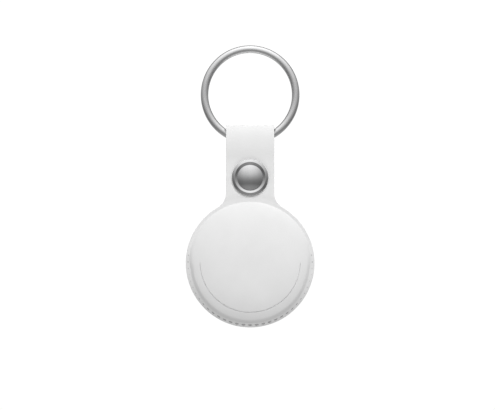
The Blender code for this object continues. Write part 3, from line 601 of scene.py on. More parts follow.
def drawn_leaf(name, section, rows):
    """A pouch half turned from its section, whose edge is then drawn out row by row as neck and strap.

    Each row gives the front and back point of a column, which runs from -1 to 1 across the strap.
    """
    piece = turned(name, section, POUCH_Z, LEAF_STEPS)
    edit(piece, "FACE")
    shape = bmesh.from_edit_mesh(piece.data)
    column = shape.verts.layers.float.new("column")
    behind = shape.verts.layers.int.new("behind")
    outline = shape.verts.layers.int.new("outline")
    for vertex in shape.verts:
        vertex[outline] = reach_of(vertex.co) > POUCH_RADIUS - MICRON
    for face in shape.faces:
        on_edge = all(vertex[outline] for vertex in face.verts)
        face.select = on_edge and toe < angle_of(face.calc_center_median()) < pi - toe
    mouth = [vertex for vertex in shape.verts if any(face.select for face in vertex.link_faces)]
    widest = max(abs(angle_of(vertex.co) - pi / 2) for vertex in mouth)
    middle_depth = sum(vertex.co.y for vertex in mouth) / len(mouth)
    for vertex in mouth:
        vertex[column] = (pi / 2 - angle_of(vertex.co)) / widest
        vertex[behind] = vertex.co.y > middle_depth
        vertex[outline] = abs(vertex[column]) > SIDE_COLUMN
    bmesh.update_edit_mesh(piece.data)
    for row in rows:
        bpy.ops.mesh.extrude_region_move(TRANSFORM_OT_translate={"value": (0, 0, 0)})
        shape = bmesh.from_edit_mesh(piece.data)
        column = shape.verts.layers.float["column"]
        behind = shape.verts.layers.int["behind"]
        for vertex in shape.verts:
            if vertex.select:
                vertex.co = row(vertex[column])[vertex[behind]]
        bmesh.update_edit_mesh(piece.data)
    return piece


def round_edges(piece, keep):
    """Rounds the sharp edges along a leaf's outline, apart from those that keep says stay sharp."""
    shape = bmesh.from_edit_mesh(piece.data)
    outline = shape.verts.layers.int["outline"]
    bpy.ops.mesh.select_mode(type="EDGE")
    bpy.ops.mesh.select_all(action="DESELECT")
    for edge in shape.edges:
        sharp = edge.is_manifold and edge.calc_face_angle() > SHARP_EDGE
        edge.select = sharp and all(end[outline] and not keep(end.co) for end in edge.verts)
    bmesh.update_edit_mesh(piece.data)
    bpy.ops.mesh.bevel(offset=EDGE_ROUND, segments=EDGE_PIECES, affect="EDGES")
    bpy.ops.object.mode_set(mode="OBJECT")
    for made in ("column", "behind", "outline"):
        piece.data.attributes.remove(piece.data.attributes[made])


def punch(piece, height, radius, low, high):
    """Punches a round hole from front to back through a piece, between two depths."""
    bpy.ops.object.select_all(action="DESELECT")
    bpy.ops.mesh.primitive_cylinder_add(
        vertices=HOLE_SIDES,
        radius=radius,
        depth=high - low,
        location=(0, (low + high) / 2, height),
        rotation=(pi / 2, 0, 0),
    )
    tool = bpy.context.object
    hole = piece.modifiers.new("hole", "BOOLEAN")
    hole.operation = "DIFFERENCE"
    hole.object = tool
    alone(piece)
    bpy.ops.object.modifier_apply(modifier=hole.name)
    bpy.data.objects.remove(tool)


shoulder_start = DOME_RADIUS - BACK_SHOULDER


def back_depth(radius):
    """Depth of the back leaf's outer face at a radius."""
    share = (radius - shoulder_start) / BACK_SHOULDER
    if share >= 1:
        rise = -RUN_OUT_SLOPE * (radius - DOME_RADIUS)
    else:
        rise = (BACK_PLANE - BACK_FLANGE) * bulge(max(0.0, share), BACK_FULLNESS)
    return BACK_FLANGE + softened(rise, CREASE_ROUND)


flat_width = shoulder_start - WINDOW_RADIUS
back_radii = [WINDOW_RADIUS + flat_width * i / FLAT_POINTS for i in range(FLAT_POINTS)]
for i in range(SHOULDER_POINTS):
    back_radii.append(shoulder_start + BACK_SHOULDER * sin(pi / 2 * i / SHOULDER_POINTS))
flange_radii = [DOME_RADIUS + i * FLANGE_WIDTH / FLANGE_POINTS for i in range(FLANGE_POINTS)]
back_section = [(radius, back_depth(radius)) for radius in back_radii + flange_radii]
back_section += [(POUCH_RADIUS, BACK_FLANGE), (POUCH_RADIUS, BACK_FLANGE - LEATHER)]
inner_shoulder = BACK_SHOULDER - LEATHER / 2
inner_rise = BACK_PLANE - LEATHER - BACK_FLANGE
back_section.append((DOME_RADIUS - LEATHER, BACK_FLANGE - LEATHER))
for i in range(INNER_POINTS, -1, -1):
    share = sin(pi / 2 * i / INNER_POINTS)
    radius = DOME_RADIUS - LEATHER - inner_shoulder * (1 - share)
    back_section.append((radius, BACK_FLANGE + inner_rise * bulge(share, BACK_FULLNESS)))
back_section.append((WINDOW_RADIUS, BACK_PLANE - LEATHER))


def back_row(x, rise):
    """The front and back point of a place on the back leaf's neck and tab."""
    return (x, BACK_FLANGE - LEATHER, POUCH_Z + rise), (x, BACK_FLANGE, POUCH_Z + rise)


def back_neck(share):
    """A row of the back leaf's neck."""
    return lambda column: back_row(*neck_point(share, column))


def back_tab(share):
    """A row of the tab, between the neck's straight end and the tab's round top."""

    def row(column):
        x = STRAP_HALF * (column + (sin(column * pi / 2) - column) * share)
        top = SNAP_RISE + STRAP_HALF * cos(column * pi / 2)
        return back_row(x, FILLET_RISE + (top - FILLET_RISE) * share)

    return row


def rows_of(stretch, count):
    """The rows of one stretch of a leaf, from the first after its start to its end."""
    return [stretch(i / count) for i in range(1, count + 1)]


back_rows = rows_of(back_neck, NECK_ROWS) + rows_of(back_tab, TAB_ROWS)
back_leaf = drawn_leaf("back_leaf", back_section, back_rows)
shape = bmesh.from_edit_mesh(back_leaf.data)
outline = shape.verts.layers.int["outline"]
for vertex in shape.verts:
    if abs(reach_of(vertex.co) - WINDOW_RADIUS) < MICRON:
        vertex[outline] = 1
    sunk = dimple(vertex.co) if abs(vertex.co.y - BACK_FLANGE) < LEATHER / 2 else 0.0
    vertex.co.y += flange_drop(vertex.co) - sunk
bmesh.update_edit_mesh(back_leaf.data)
round_edges(back_leaf, lambda point: False)
punch(back_leaf, SNAP_Z, STUD_HOLE_RADIUS, BACK_FLANGE - 2 * LEATHER, BACK_FLANGE + LEATHER)
smooth(back_leaf, grain_side)
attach(back_leaf, "holder")
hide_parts("back_leather")

# Front leaf: the same leather, pressed into a round dome, with a neck and a long strap that goes up and over
# the ring as a loop. A half-moon line is scored in the dome along the tag's lower edge, and the strap is
# pressed in a little where the stud's cap sits on it.

FRONT_CROWN = leaf_low.y
FRONT_FLANGE = POUCH_Y - 2.25 * MM
FRONT_FULLNESS = 2.6
SCORE_RADIUS = SHELL_RADIUS - 0.15 * MM
SCORE_HALF_WIDTH = 0.12 * MM
SCORE_DEPTH = 0.34 * MM
SCORE_FADE = 0.8 * MM
DOME_LIFT = 0.3 * MM
DOME_LIFT_RADIUS = 16.9 * MM
DOME_UPPER = 19.33 * MM
DOME_LOWER = 18.83 * MM
CREASE_DEPTH = 0.15 * MM
CREASE_WIDTH = 0.8 * MM
CREASE_RUN = 1.2 * MM
CREASE_SIDES = 1.8
CREASE_ABOVE = 0.4
SEWN_TOP = 0.25
SEWN_FADE = 0.4
DOME_POINTS = 44
DOME_INSIDE_POINTS = 20
STRAP_STEP = 0.15 * MM
STRAP_FACE = FRONT_FLANGE - STRAP_STEP
STRAP_FLAT_TOP = SNAP_RISE + 5.95 * MM
NECK_RAMP = 2.0 * MM
LOOP_STEP = 0.25 * MM
LOOP_FACE = STRAP_FACE - LOOP_STEP
LOOP_RAMP = 4.9 * MM
POST_HOLE_RADIUS = 1.3 * MM
SEAT_RADIUS = 5.4 * MM
SEAT_FADE = 1.6 * MM
SEAT_DEPTH = 0.14 * MM
tail_hinge = hinge_place("tail_open")
LOOP_RISE = hinge_place("holder_swing")[2] - POUCH_Z
LOOP_MIDDLE = tail_hinge[1] - LEATHER / 2
LOOP_END_RISE = tail_hinge[2] - POUCH_Z
LOOP_TOP = LOOP_RISE + LOOP_MIDDLE + LEATHER / 2
LOOP_FACE_RISE = LOOP_RISE - 3.6 * MM
LOOP_CURL = 1 / 3
FLAT_ROWS = 30
BULGE_ROWS = 18
ARCH_ROWS = 30


def front_depth(radius):
    """Depth of the front leaf's outer face at a radius."""
    if radius >= DOME_RADIUS:
        rise = -RUN_OUT_SLOPE * (radius - DOME_RADIUS)
    else:
        rise = (FRONT_FLANGE - FRONT_CROWN) * bulge(radius / DOME_RADIUS, FRONT_FULLNESS)
    return FRONT_FLANGE - softened(rise, CREASE_ROUND)


score_walls = [-2 * SCORE_HALF_WIDTH, -SCORE_HALF_WIDTH, -0.4 * SCORE_HALF_WIDTH]
score_radii = [SCORE_RADIUS + side * offset for offset in score_walls for side in (1, -1)]
dome_radii = [DOME_RADIUS * sin(pi / 2 * i / DOME_POINTS) for i in range(DOME_POINTS)]
clear_of_score = [r for r in dome_radii if abs(r - SCORE_RADIUS) > 3 * SCORE_HALF_WIDTH]
front_radii = sorted(clear_of_score + score_radii) + flange_radii
front_section = [(radius, front_depth(radius)) for radius in front_radii]
front_section += [(POUCH_RADIUS, FRONT_FLANGE), (POUCH_RADIUS, FRONT_FLANGE + LEATHER)]
front_section.append((DOME_RADIUS - LEATHER, FRONT_FLANGE + LEATHER))
inner_height = FRONT_CROWN - FRONT_FLANGE + LEATHER
dome_bore = DOME_RADIUS - LEATHER
front_section += domed(dome_bore, FRONT_FLANGE, inner_height, FRONT_FULLNESS, DOME_INSIDE_POINTS)[::-1]


def lower_half(point):
    """0 at the pouch's upper half and 1 at its sewn lower half, where the flange is wider."""
    height = (point.z - POUCH_Z) / max(MICRON, reach_of(point))
    return eased((SEWN_TOP - height) / SEWN_FADE)


def dome_shift(point):
    """How the front's dome is moved: its middle up, and its edge in or out, running out over the flange."""
    reach = reach_of(point)
    middle = 1 - eased((reach - DOME_LIFT_RADIUS) / (DOME_RADIUS - DOME_LIFT_RADIUS))
    fade = min(1.0, max(0.0, (POUCH_RADIUS - reach) / FLANGE_WIDTH))
    edge = DOME_UPPER + (DOME_LOWER - DOME_UPPER) * lower_half(point) - DOME_RADIUS
    outwards = Vector((point.x, 0, point.z - POUCH_Z)) / max(MICRON, reach)
    return Vector((0, 0, DOME_LIFT * middle)) + outwards * (edge * fade * (1 - middle))


def crease(point):
    """How deep the leather is pressed in round the dome's edge, steeply inside and more slowly outside."""
    away = reach_of(point) - DOME_RADIUS
    near = max(0.0, 1 - away / CREASE_RUN if away > 0 else 1 + away / CREASE_WIDTH)
    depth = CREASE_DEPTH * (1 + CREASE_SIDES * sin(from_bottom(point)) ** 2)
    return near * depth * max(CREASE_ABOVE, lower_half(point))


def seat(x, rise):
    """How far the cap's seat is pressed in at a place on the strap."""
    away = hypot(x, rise - SNAP_RISE)
    return SEAT_DEPTH * (1 - eased((away - SEAT_RADIUS) / SEAT_FADE))


def strap_face(x, rise):
    """Depth of the outer face at a place on the neck and the strap.

    The strap stands out a little from the pouch's edge, and a little more where it starts to go round the
    ring. From there its face curls back, slowly at first, to the loop's top.
    """
    if rise > LOOP_FACE_RISE:
        share = min(1.0, (rise - LOOP_FACE_RISE) / (LOOP_TOP - LOOP_FACE_RISE))
        return LOOP_FACE * (1 - share * share) ** LOOP_CURL
    neck = eased((hypot(x, rise) - POUCH_RADIUS) / NECK_RAMP)
    loop = eased((rise - LOOP_FACE_RISE + LOOP_RAMP) / LOOP_RAMP)
    return FRONT_FLANGE - STRAP_STEP * neck - LOOP_STEP * loop + seat(x, rise)


def flat_row(x, rise, inside=FRONT_FLANGE + LEATHER):
    """The front and back point of a place on the front leaf's neck and strap."""
    return (x, strap_face(x, rise), POUCH_Z + rise), (x, inside, POUCH_Z + rise)


def front_neck(share):
    """A row of the front leaf's neck."""
    return lambda column: flat_row(*neck_point(share, column))


def strap_flat(share):
    """A row of the strap's flat part, from the neck to just above the press stud."""
    rise = FILLET_RISE + (STRAP_FLAT_TOP - FILLET_RISE) * share
    return lambda column: flat_row(column * STRAP_HALF, rise)


def side_row(outer, inner):
    """A row straight across the strap, from the (depth, rise) of its outer and inner face in side view."""

    def row(column):
        return [(column * STRAP_HALF, depth, POUCH_Z + rise) for depth, rise in (outer, inner)]

    return row


def strap_bulge(share):
    """The strap's way up in front of the ring, from its flat part to the height of the loop's middle."""
    rise = STRAP_FLAT_TOP + (LOOP_RISE - STRAP_FLAT_TOP) * share
    flat_inside = FRONT_FLANGE + LEATHER
    loop_inside = LEATHER / 2 - LOOP_MIDDLE
    inside = flat_inside + (loop_inside - flat_inside) * eased(share)
    return lambda column: flat_row(column * STRAP_HALF, rise, inside)


def strap_arch(share):
    """The way over the ring: a half circle inside, which the outer face follows behind the top."""
    turn = pi * share
    inner_radius = LOOP_MIDDLE - LEATHER / 2
    inner = (-inner_radius * cos(turn), LOOP_RISE + inner_radius * sin(turn))
    rise = LOOP_RISE + (LOOP_TOP - LOOP_RISE) * sin(turn)
    depth = strap_face(0, rise) if share < 0.5 else -(LOOP_TOP - LOOP_RISE) * cos(turn)
    return side_row((depth, rise), inner)


front_rows = rows_of(front_neck, NECK_ROWS) + rows_of(strap_flat, FLAT_ROWS)
front_rows += rows_of(strap_bulge, BULGE_ROWS) + rows_of(strap_arch, ARCH_ROWS)
loop_back = LOOP_MIDDLE + LEATHER / 2
front_rows.append(side_row((loop_back, LOOP_END_RISE), (loop_back - LEATHER, LOOP_END_RISE)))
front_leaf = drawn_leaf("front_leaf", front_section, front_rows)
shape = bmesh.from_edit_mesh(front_leaf.data)
for vertex in shape.verts:
    reach = reach_of(vertex.co)
    on_front = vertex.co.y < front_depth(reach) + MICRON
    below = eased((POUCH_Z - vertex.co.z) / SCORE_FADE)
    vertex.co.y += flange_drop(vertex.co)
    if on_front and abs(reach - SCORE_RADIUS) < SCORE_HALF_WIDTH / 2:
        vertex.co.y += SCORE_DEPTH * below
    if on_front and reach < POUCH_RADIUS:
        vertex.co.y += crease(vertex.co)
        vertex.co += dome_shift(vertex.co)
        vertex.co.y += dimple(vertex.co)
bmesh.update_edit_mesh(front_leaf.data)
loop_end = POUCH_Z + LOOP_END_RISE
round_edges(front_leaf, lambda point: point.y > 0 and abs(point.z - loop_end) < MICRON)
punch(front_leaf, SNAP_Z, POST_HOLE_RADIUS, FRONT_FLANGE - LEATHER, FRONT_FLANGE + 2 * LEATHER)
smooth(front_leaf, grain_side)
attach(front_leaf, "holder")
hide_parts("front_leather")

# Seam: waxed thread that holds the leaves together round the lower half of the pouch. The thread is light,
# and its grey is painted shade, the shade of its holes painted into its colour. Each stitch is a short
# length that dips in the leather at both ends. It lies in its own dimple at the bottom, and is sunk almost
# flush towards the sides.

STITCH_LENGTH = 1.35 * MM
STITCH_RADIUS = 0.23 * MM
STITCH_SIDES = 16
STITCH_RINGS = 10
STITCH_SMOOTH = 60


def waxed_thread():
    """Waxed thread whose plies just show, in a grey that is painted shade on a light thread."""
    made, tree, shader = finish("waxed_thread")
    shader.inputs["Sheen Weight"].default_value = 0.2
    plies = pattern(tree, "ShaderNodeTexNoise", 0.12 * MM)
    # Painted shade: the grey stands for the shade in the stitch holes, not for the light thread's own
    # colour.
    tint(tree, plies, (0.3, 0.3, 0.3), (0.4, 0.4, 0.4), shader.inputs["Base Color"])
    spread(tree, plies, 0.55, 0.75, shader.inputs["Roughness"])
    emboss(tree, plies, 25 * MICRON, shader)
    return made


def front_drop(point):
    """How far the front's flange lies back at a point on its moved face."""
    before = point - dome_shift(point)
    return flange_drop(before) + crease(before)


def stitched(name, face, inwards, drop):
    """A row of stitches round the lower half of the pouch, sunk inwards from a leaf's dropped face."""
    bpy.ops.object.select_all(action="DESELECT")
    made = []
    for number in range(-STITCHES_EACH_SIDE, STITCHES_EACH_SIDE + 1):
        turn = BOTTOM + number * STITCH_PITCH
        tight = pull(number * STITCH_PITCH)
        sink = DIMPLE_DEPTH * tight + STITCH_RADIUS * (1 - tight)
        place = Vector((SEAM_RADIUS * cos(turn), face + inwards * sink, POUCH_Z + SEAM_RADIUS * sin(turn)))
        place.y += drop(place)
        bpy.ops.mesh.primitive_uv_sphere_add(
            segments=STITCH_SIDES,
            ring_count=STITCH_RINGS,
            radius=STITCH_RADIUS,
            location=place,
            rotation=(0, -turn, 0),
            scale=(1, 1, STITCH_LENGTH / (2 * STITCH_RADIUS)),
        )
        made.append(bpy.context.object)
    for stitch in made:
        stitch.select_set(True)
    bpy.ops.object.transform_apply(location=True, rotation=True, scale=True)
    bpy.ops.object.join()
    return named(name)


# The seam's finish, whose grey is painted shade on a light thread.
painted_shade_thread_look = waxed_thread()
for row_name, face, inwards, drop, node_name in (
    ("front_stitches", FRONT_FLANGE, 1, front_drop, "front_thread"),
    ("back_stitches", BACK_FLANGE, -1, flange_drop, "back_thread"),
):
    stitches = smooth(stitched(row_name, face, inwards, drop), painted_shade_thread_look, STITCH_SMOOTH)
    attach(stitches, "holder")
    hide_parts(node_name)

# Strap tail: the strap's free end, which comes down behind the loop, lies on the tab and ends in a round. It
# bends where it leaves the loop when the press stud is opened, so its top stays with the holder.

TAIL_FACE = POUCH_Y + 0.95 * MM
TAIL_BEND = 3.0 * MM
BARREL_HOLE_RADIUS = 3.15 * MM
TAIL_COLUMNS = 72
TAIL_ROWS = 96
TAIL_STRAIGHT = 0.62
AT_LOOP = 10 * MICRON


def tail_line(drop):
    """(depth, rise) of the tail's outer face, a share of the way down from the loop to its end's middle."""
    rise = LOOP_END_RISE + (SNAP_RISE - LOOP_END_RISE) * drop
    share = (LOOP_END_RISE - rise) / (LOOP_END_RISE - STRAP_FLAT_TOP)
    return loop_back + (TAIL_FACE - loop_back) * eased(share), rise


bpy.ops.object.select_all(action="DESELECT")
bpy.ops.mesh.primitive_grid_add(x_subdivisions=TAIL_COLUMNS, y_subdivisions=TAIL_ROWS, size=2)
tail = named("tail_strap")
for vertex in tail.data.vertices:
    across = vertex.co.x
    down = (1 - vertex.co.y) / 2
    if down <= TAIL_STRAIGHT:
        depth, rise = tail_line(down / TAIL_STRAIGHT)
        vertex.co = (across * STRAP_HALF, depth, POUCH_Z + rise)
    else:
        share = (down - TAIL_STRAIGHT) / (1 - TAIL_STRAIGHT)
        x = STRAP_HALF * (across + (sin(across * pi / 2) - across) * share)
        rise = SNAP_RISE - STRAP_HALF * cos(across * pi / 2) * share
        vertex.co = (x, TAIL_FACE, POUCH_Z + rise)
edit(tail)
close_up()
bpy.ops.object.mode_set(mode="OBJECT")
# The grid is the outer face, so the wall grows forwards from it, whichever way its normals came out.
facing = tail.data.polygons[len(tail.data.polygons) // 3].normal.y
wall = tail.modifiers.new("wall", "SOLIDIFY")
wall.thickness = LEATHER
wall.offset = -1 if facing > 0 else 1
alone(tail)
bpy.ops.object.modifier_apply(modifier=wall.name)
edit(tail, "EDGE")
bpy.ops.mesh.select_all(action="DESELECT")
shape = bmesh.from_edit_mesh(tail.data)
for edge in shape.edges:
    at_loop = all(end.co.z > loop_end - AT_LOOP for end in edge.verts)
    edge.select = edge.is_manifold and edge.calc_face_angle() > SHARP_EDGE and not at_loop
bmesh.update_edit_mesh(tail.data)
bpy.ops.mesh.bevel(offset=EDGE_ROUND, segments=EDGE_PIECES, affect="EDGES")
bpy.ops.object.mode_set(mode="OBJECT")
punch(tail, SNAP_Z, BARREL_HOLE_RADIUS, TAIL_FACE - 2 * LEATHER, TAIL_FACE + LEATHER)
smooth(tail, grain_side)
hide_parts("strap_tail")
hinge_y = tail_hinge[1]
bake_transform(tail, "holder", "tail", start=(0, hinge_y, loop_end), end=(0, hinge_y, loop_end - TAIL_BEND))

# Press stud: a polished steel cap with a rolled rim and a domed middle, whose post goes through the strap
# and is riveted in a stud behind it. A socket with a split wire spring sits in the tail and snaps over the
# stud, and a smaller domed cap closes it behind.

STUD_STEPS = 128
CAP_RADIUS = snap_high.x
CAP_TOP = snap_low.y
CAP_SPHERE = 7.4 * MM
CAP_DOME_RADIUS = 4.08 * MM
CAP_CREST = STRAP_FACE - 0.95 * MM
CAP_CREST_RADIUS = CAP_RADIUS - 0.85 * MM
CAP_CREST_ROUND = 0.15 * MM
CAP_INNER_SLOPE = radians(34)
CAP_OUTER_SLOPE = radians(30)
CAP_EDGE_ROUND = 0.12 * MM
CAP_UNDERCUT = 0.35 * MM
CAP_GROOVE = 0.02 * MM
CAP_DOME_POINTS = 24
CAP_CREST_POINTS = 16
CAP_EDGE_POINTS = 6
CAP_SEAT = STRAP_FACE + SEAT_DEPTH - 0.03 * MM
POST_RADIUS = 1.2 * MM
POST_END = snap_high.y
snap_steel = brushed_steel(
    "snap_steel",
    dark=(0.6, 0.6, 0.605),
    light=(0.68, 0.68, 0.685),
    roughness=(0.1, 0.17),
    stretch=(1, 1, 1),
)

cap_section = []
for i in range(CAP_DOME_POINTS + 1):
    radius = CAP_DOME_RADIUS * i / CAP_DOME_POINTS
    cap_section.append((radius, CAP_TOP + CAP_SPHERE - sqrt(CAP_SPHERE**2 - radius**2)))
crest = []
for i in range(CAP_CREST_POINTS + 1):
    lean = (CAP_INNER_SLOPE + CAP_OUTER_SLOPE) * i / CAP_CREST_POINTS - CAP_INNER_SLOPE
    over = CAP_CREST_ROUND * sin(lean)
    crest.append((CAP_CREST_RADIUS + over, CAP_CREST + CAP_CREST_ROUND * (1 - cos(lean))))
groove_radius = CAP_DOME_RADIUS + CAP_GROOVE
groove_drop = (crest[0][0] - groove_radius) * tan(CAP_INNER_SLOPE)
cap_section += [(groove_radius, crest[0][1] + groove_drop)] + crest
edge_middle = CAP_RADIUS - CAP_EDGE_ROUND
edge_start = edge_middle + CAP_EDGE_ROUND * sin(CAP_OUTER_SLOPE)
edge_depth = crest[-1][1] + (edge_start - crest[-1][0]) * tan(CAP_OUTER_SLOPE)
edge_depth += CAP_EDGE_ROUND * cos(CAP_OUTER_SLOPE)
for i in range(CAP_EDGE_POINTS + 1):
    lean = CAP_OUTER_SLOPE + (pi / 2 - CAP_OUTER_SLOPE) * i / CAP_EDGE_POINTS
    cap_section.append((edge_middle + CAP_EDGE_ROUND * sin(lean), edge_depth - CAP_EDGE_ROUND * cos(lean)))
for i in range(1, CAP_EDGE_POINTS + 1):
    turn = pi / 2 * i / CAP_EDGE_POINTS
    under = (CAP_SEAT - edge_depth) * sin(turn)
    cap_section.append((CAP_RADIUS - CAP_UNDERCUT * (1 - cos(turn)), edge_depth + under))
cap_section += [(POST_RADIUS, CAP_SEAT), (POST_RADIUS, POST_END), (0, POST_END)]
cap = smooth(turned("stud_cap", cap_section, SNAP_Z, STUD_STEPS), snap_steel)
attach(cap, "holder")
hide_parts("snap_cap")


def rolled(points, size):
    """A half section whose corners are cut by two short chamfers, as on rolled and pressed sheet."""
    made = []
    for i, (radius, depth) in enumerate(points):
        before = points[i - 1]
        after = points[(i + 1) % len(points)]
        if radius == 0:
            made.append((radius, depth))
            continue
        run_in = hypot(before[0] - radius, before[1] - depth)
        run_out = hypot(after[0] - radius, after[1] - depth)
        cut_in = min(size, run_in / 3) / run_in
        cut_out = min(size, run_out / 3) / run_out
        start = (radius + (before[0] - radius) * cut_in, depth + (before[1] - depth) * cut_in)
        end = (radius + (after[0] - radius) * cut_out, depth + (after[1] - depth) * cut_out)
        middle = ((start[0] + end[0] + 2 * radius) / 4, (start[1] + end[1] + 2 * depth) / 4)
        made += [start, middle, end]
    return made


stud_low, stud_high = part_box("snap_stud")
STUD_RADIUS = 1.75 * MM
STUD_HEAD_RADIUS = 1.95 * MM
STUD_BASE_RADIUS = stud_high.x
STUD_BASE = 0.4 * MM
STUD_BORE = 1.3 * MM
STUD_STEP = 0.2 * MM
STUD_BORE_END = POST_END + 0.1 * MM
STUD_CHAMFER = 0.08 * MM
stud_section = [
    (0, STUD_BORE_END),
    (STUD_BORE, STUD_BORE_END),
    (STUD_BORE, stud_low.y),
    (STUD_BASE_RADIUS, stud_low.y),
    (STUD_BASE_RADIUS, stud_low.y + STUD_BASE),
    (STUD_RADIUS, stud_low.y + STUD_BASE),
    (STUD_RADIUS, stud_high.y - 3 * STUD_STEP),
    (STUD_HEAD_RADIUS, stud_high.y - 2 * STUD_STEP),
    (STUD_HEAD_RADIUS, stud_high.y - STUD_STEP),
    (STUD_RADIUS, stud_high.y),
    (0, stud_high.y),
]
stud = smooth(turned("stud_post", rolled(stud_section, STUD_CHAMFER), SNAP_Z, STUD_STEPS), snap_steel)
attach(stud, "holder")
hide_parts("snap_stud")

socket_low, socket_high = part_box("snap_socket")
spring_low, spring_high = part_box("snap_spring")
SOCKET_BORE = 2.45 * MM
SOCKET_RADIUS = socket_high.x
BARREL_RADIUS = 3.05 * MM
SOCKET_FLANGE_BACK = POUCH_Y - 0.15 * MM
SPRING_SLOT = 2.85 * MM
SPRING_ROOM = 0.05 * MM
SOCKET_CHAMFER = 0.05 * MM
socket_section = [
    (SOCKET_BORE, socket_low.y),
    (SOCKET_RADIUS, socket_low.y),
    (SOCKET_RADIUS, SOCKET_FLANGE_BACK),
    (BARREL_RADIUS, SOCKET_FLANGE_BACK),
    (BARREL_RADIUS, socket_high.y),
    (SOCKET_BORE, socket_high.y),
    (SOCKET_BORE, spring_high.y + SPRING_ROOM),
    (SPRING_SLOT, spring_high.y + SPRING_ROOM),
    (SPRING_SLOT, spring_low.y - SPRING_ROOM),
    (SOCKET_BORE, spring_low.y - SPRING_ROOM),
]
rolled_socket = rolled(socket_section, SOCKET_CHAMFER)
socket = smooth(turned("stud_socket", rolled_socket, SNAP_Z, STUD_STEPS), snap_steel)
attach(socket, "tail")
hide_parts("snap_socket")

SPRING_WIRE = (spring_high.y - spring_low.y) / 2
SPRING_MIDDLE = (spring_high.y + spring_low.y) / 2
SPRING_RADIUS = spring_high.x - SPRING_WIRE
SPRING_GAP = radians(40)
SPRING_SIDES = 12
SPRING_STEPS = 96


def fill_ends():
    """Closes the open ends of a swept wire."""
    bpy.ops.mesh.select_all(action="DESELECT")
    bpy.ops.mesh.select_non_manifold()
    bpy.ops.mesh.fill()


spring_loop = []
for i in range(SPRING_SIDES):
    around = 2 * pi * i / SPRING_SIDES
    depth = SPRING_MIDDLE + SPRING_WIRE * sin(around)
    spring_loop.append((SPRING_RADIUS + SPRING_WIRE * cos(around), depth, SNAP_Z))
spring = looped("stud_spring", spring_loop)
edit(spring)
bpy.ops.mesh.select_all(action="SELECT")
bpy.ops.transform.rotate(
    value=pi / 2 - SPRING_GAP / 2, orient_axis="Y", center_override=(0, SPRING_MIDDLE, SNAP_Z)
)
bpy.ops.mesh.spin(steps=SPRING_STEPS, angle=2 * pi - SPRING_GAP, center=(0, 0, SNAP_Z), axis=(0, 1, 0))
fill_ends()
close_up()
bpy.ops.object.mode_set(mode="OBJECT")
smooth(spring, snap_steel)
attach(spring, "tail")
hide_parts("snap_spring")

back_cap_low, back_cap_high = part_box("snap_back_cap")
BACK_CAP_RADIUS = back_cap_high.x
BACK_CAP_EDGE = 0.3 * MM
BACK_CAP_FULLNESS = 2.6
BACK_CAP_POINTS = 28
BACK_CAP_SEAT = TAIL_FACE + 0.01 * MM
BACK_CAP_LIP = TAIL_FACE + 0.08 * MM
BACK_CAP_LIP_TUCK = 0.05 * MM
BACK_CAP_SEAT_TUCK = 0.25 * MM
back_cap_foot = back_cap_low.y + BACK_CAP_EDGE
back_cap_rise = back_cap_high.y - back_cap_foot
back_cap_section = domed(BACK_CAP_RADIUS, back_cap_foot, back_cap_rise, BACK_CAP_FULLNESS, BACK_CAP_POINTS)
back_cap_section += [
    (BACK_CAP_RADIUS - BACK_CAP_LIP_TUCK, BACK_CAP_LIP),
    (BACK_CAP_RADIUS - BACK_CAP_SEAT_TUCK, BACK_CAP_SEAT),
    (0, BACK_CAP_SEAT),
]
back_cap = smooth(turned("stud_back_cap", back_cap_section, SNAP_Z, STUD_STEPS), snap_steel)
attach(back_cap, "tail")
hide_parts("snap_back_cap")

# Split ring: polished half-round steel wire, coiled twice. The turns lie flat against each other and step
# over inside the strap's loop, where the wire's ends are hidden too.

ring_low, ring_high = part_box("split_ring")
RING_Z = (ring_low.z + ring_high.z) / 2
RING_HALF_DEPTH = (ring_high.y - ring_low.y) / 2
WIRE_HALF_WIDTH = 1.2 * MM
WIRE_FLAT_SIDE = 0.05 * MM
WIRE_MIDDLE = 0.25 * MM
RING_MIDDLE = ring_high.x - WIRE_HALF_WIDTH
WIRE_POINTS = 40
STEP_OVER = radians(40)
STEP_PIECES = 12
RING_STEPS = 220
RING_SMOOTH = 50
FIRST_ANGLE = BOTTOM + STEP_OVER / 2


def wire_depth(around, share):
    """Depth of a point round the wire's section, from the front turn, at share 0, to the back one, at 1."""
    rise = sin(around)
    round_side = RING_HALF_DEPTH - WIRE_MIDDLE
    flat_side = WIRE_MIDDLE - WIRE_FLAT_SIDE
    front = -WIRE_MIDDLE + rise * (flat_side if rise > 0 else round_side)
    back = WIRE_MIDDLE + rise * (round_side if rise > 0 else flat_side)
    return front + (back - front) * eased(share)


def wire_point(around, angle, share):
    """A point round the wire's section, at an angle round the ring."""
    radius = RING_MIDDLE + WIRE_HALF_WIDTH * cos(around)
    return radius * cos(angle), wire_depth(around, share), RING_Z + radius * sin(angle)


arounds = [2 * pi * (i + 0.5) / WIRE_POINTS for i in range(WIRE_POINTS)]
ring = looped("key_ring", [wire_point(around, FIRST_ANGLE, 0) for around in arounds])
edit(ring)
bpy.ops.mesh.select_all(action="SELECT")
shape = bmesh.from_edit_mesh(ring.data)
around_layer = shape.verts.layers.float.new("around")
for vertex, around in zip(shape.verts, arounds):
    vertex[around_layer] = around
bmesh.update_edit_mesh(ring.data)
centre = (0, 0, RING_Z)
bpy.ops.mesh.spin(steps=RING_STEPS, angle=2 * pi - STEP_OVER, center=centre, axis=(0, 1, 0))
for i in range(1, STEP_PIECES + 1):
    bpy.ops.mesh.spin(steps=1, angle=STEP_OVER / STEP_PIECES, center=centre, axis=(0, 1, 0))
    shape = bmesh.from_edit_mesh(ring.data)
    around_layer = shape.verts.layers.float["around"]
    for vertex in shape.verts:
        if vertex.select:
            vertex.co.y = wire_depth(vertex[around_layer], i / STEP_PIECES)
    bmesh.update_edit_mesh(ring.data)
bpy.ops.mesh.spin(steps=RING_STEPS, angle=2 * pi - STEP_OVER, center=centre, axis=(0, 1, 0))
fill_ends()
close_up()
bpy.ops.object.mode_set(mode="OBJECT")
ring.data.attributes.remove(ring.data.attributes["around"])
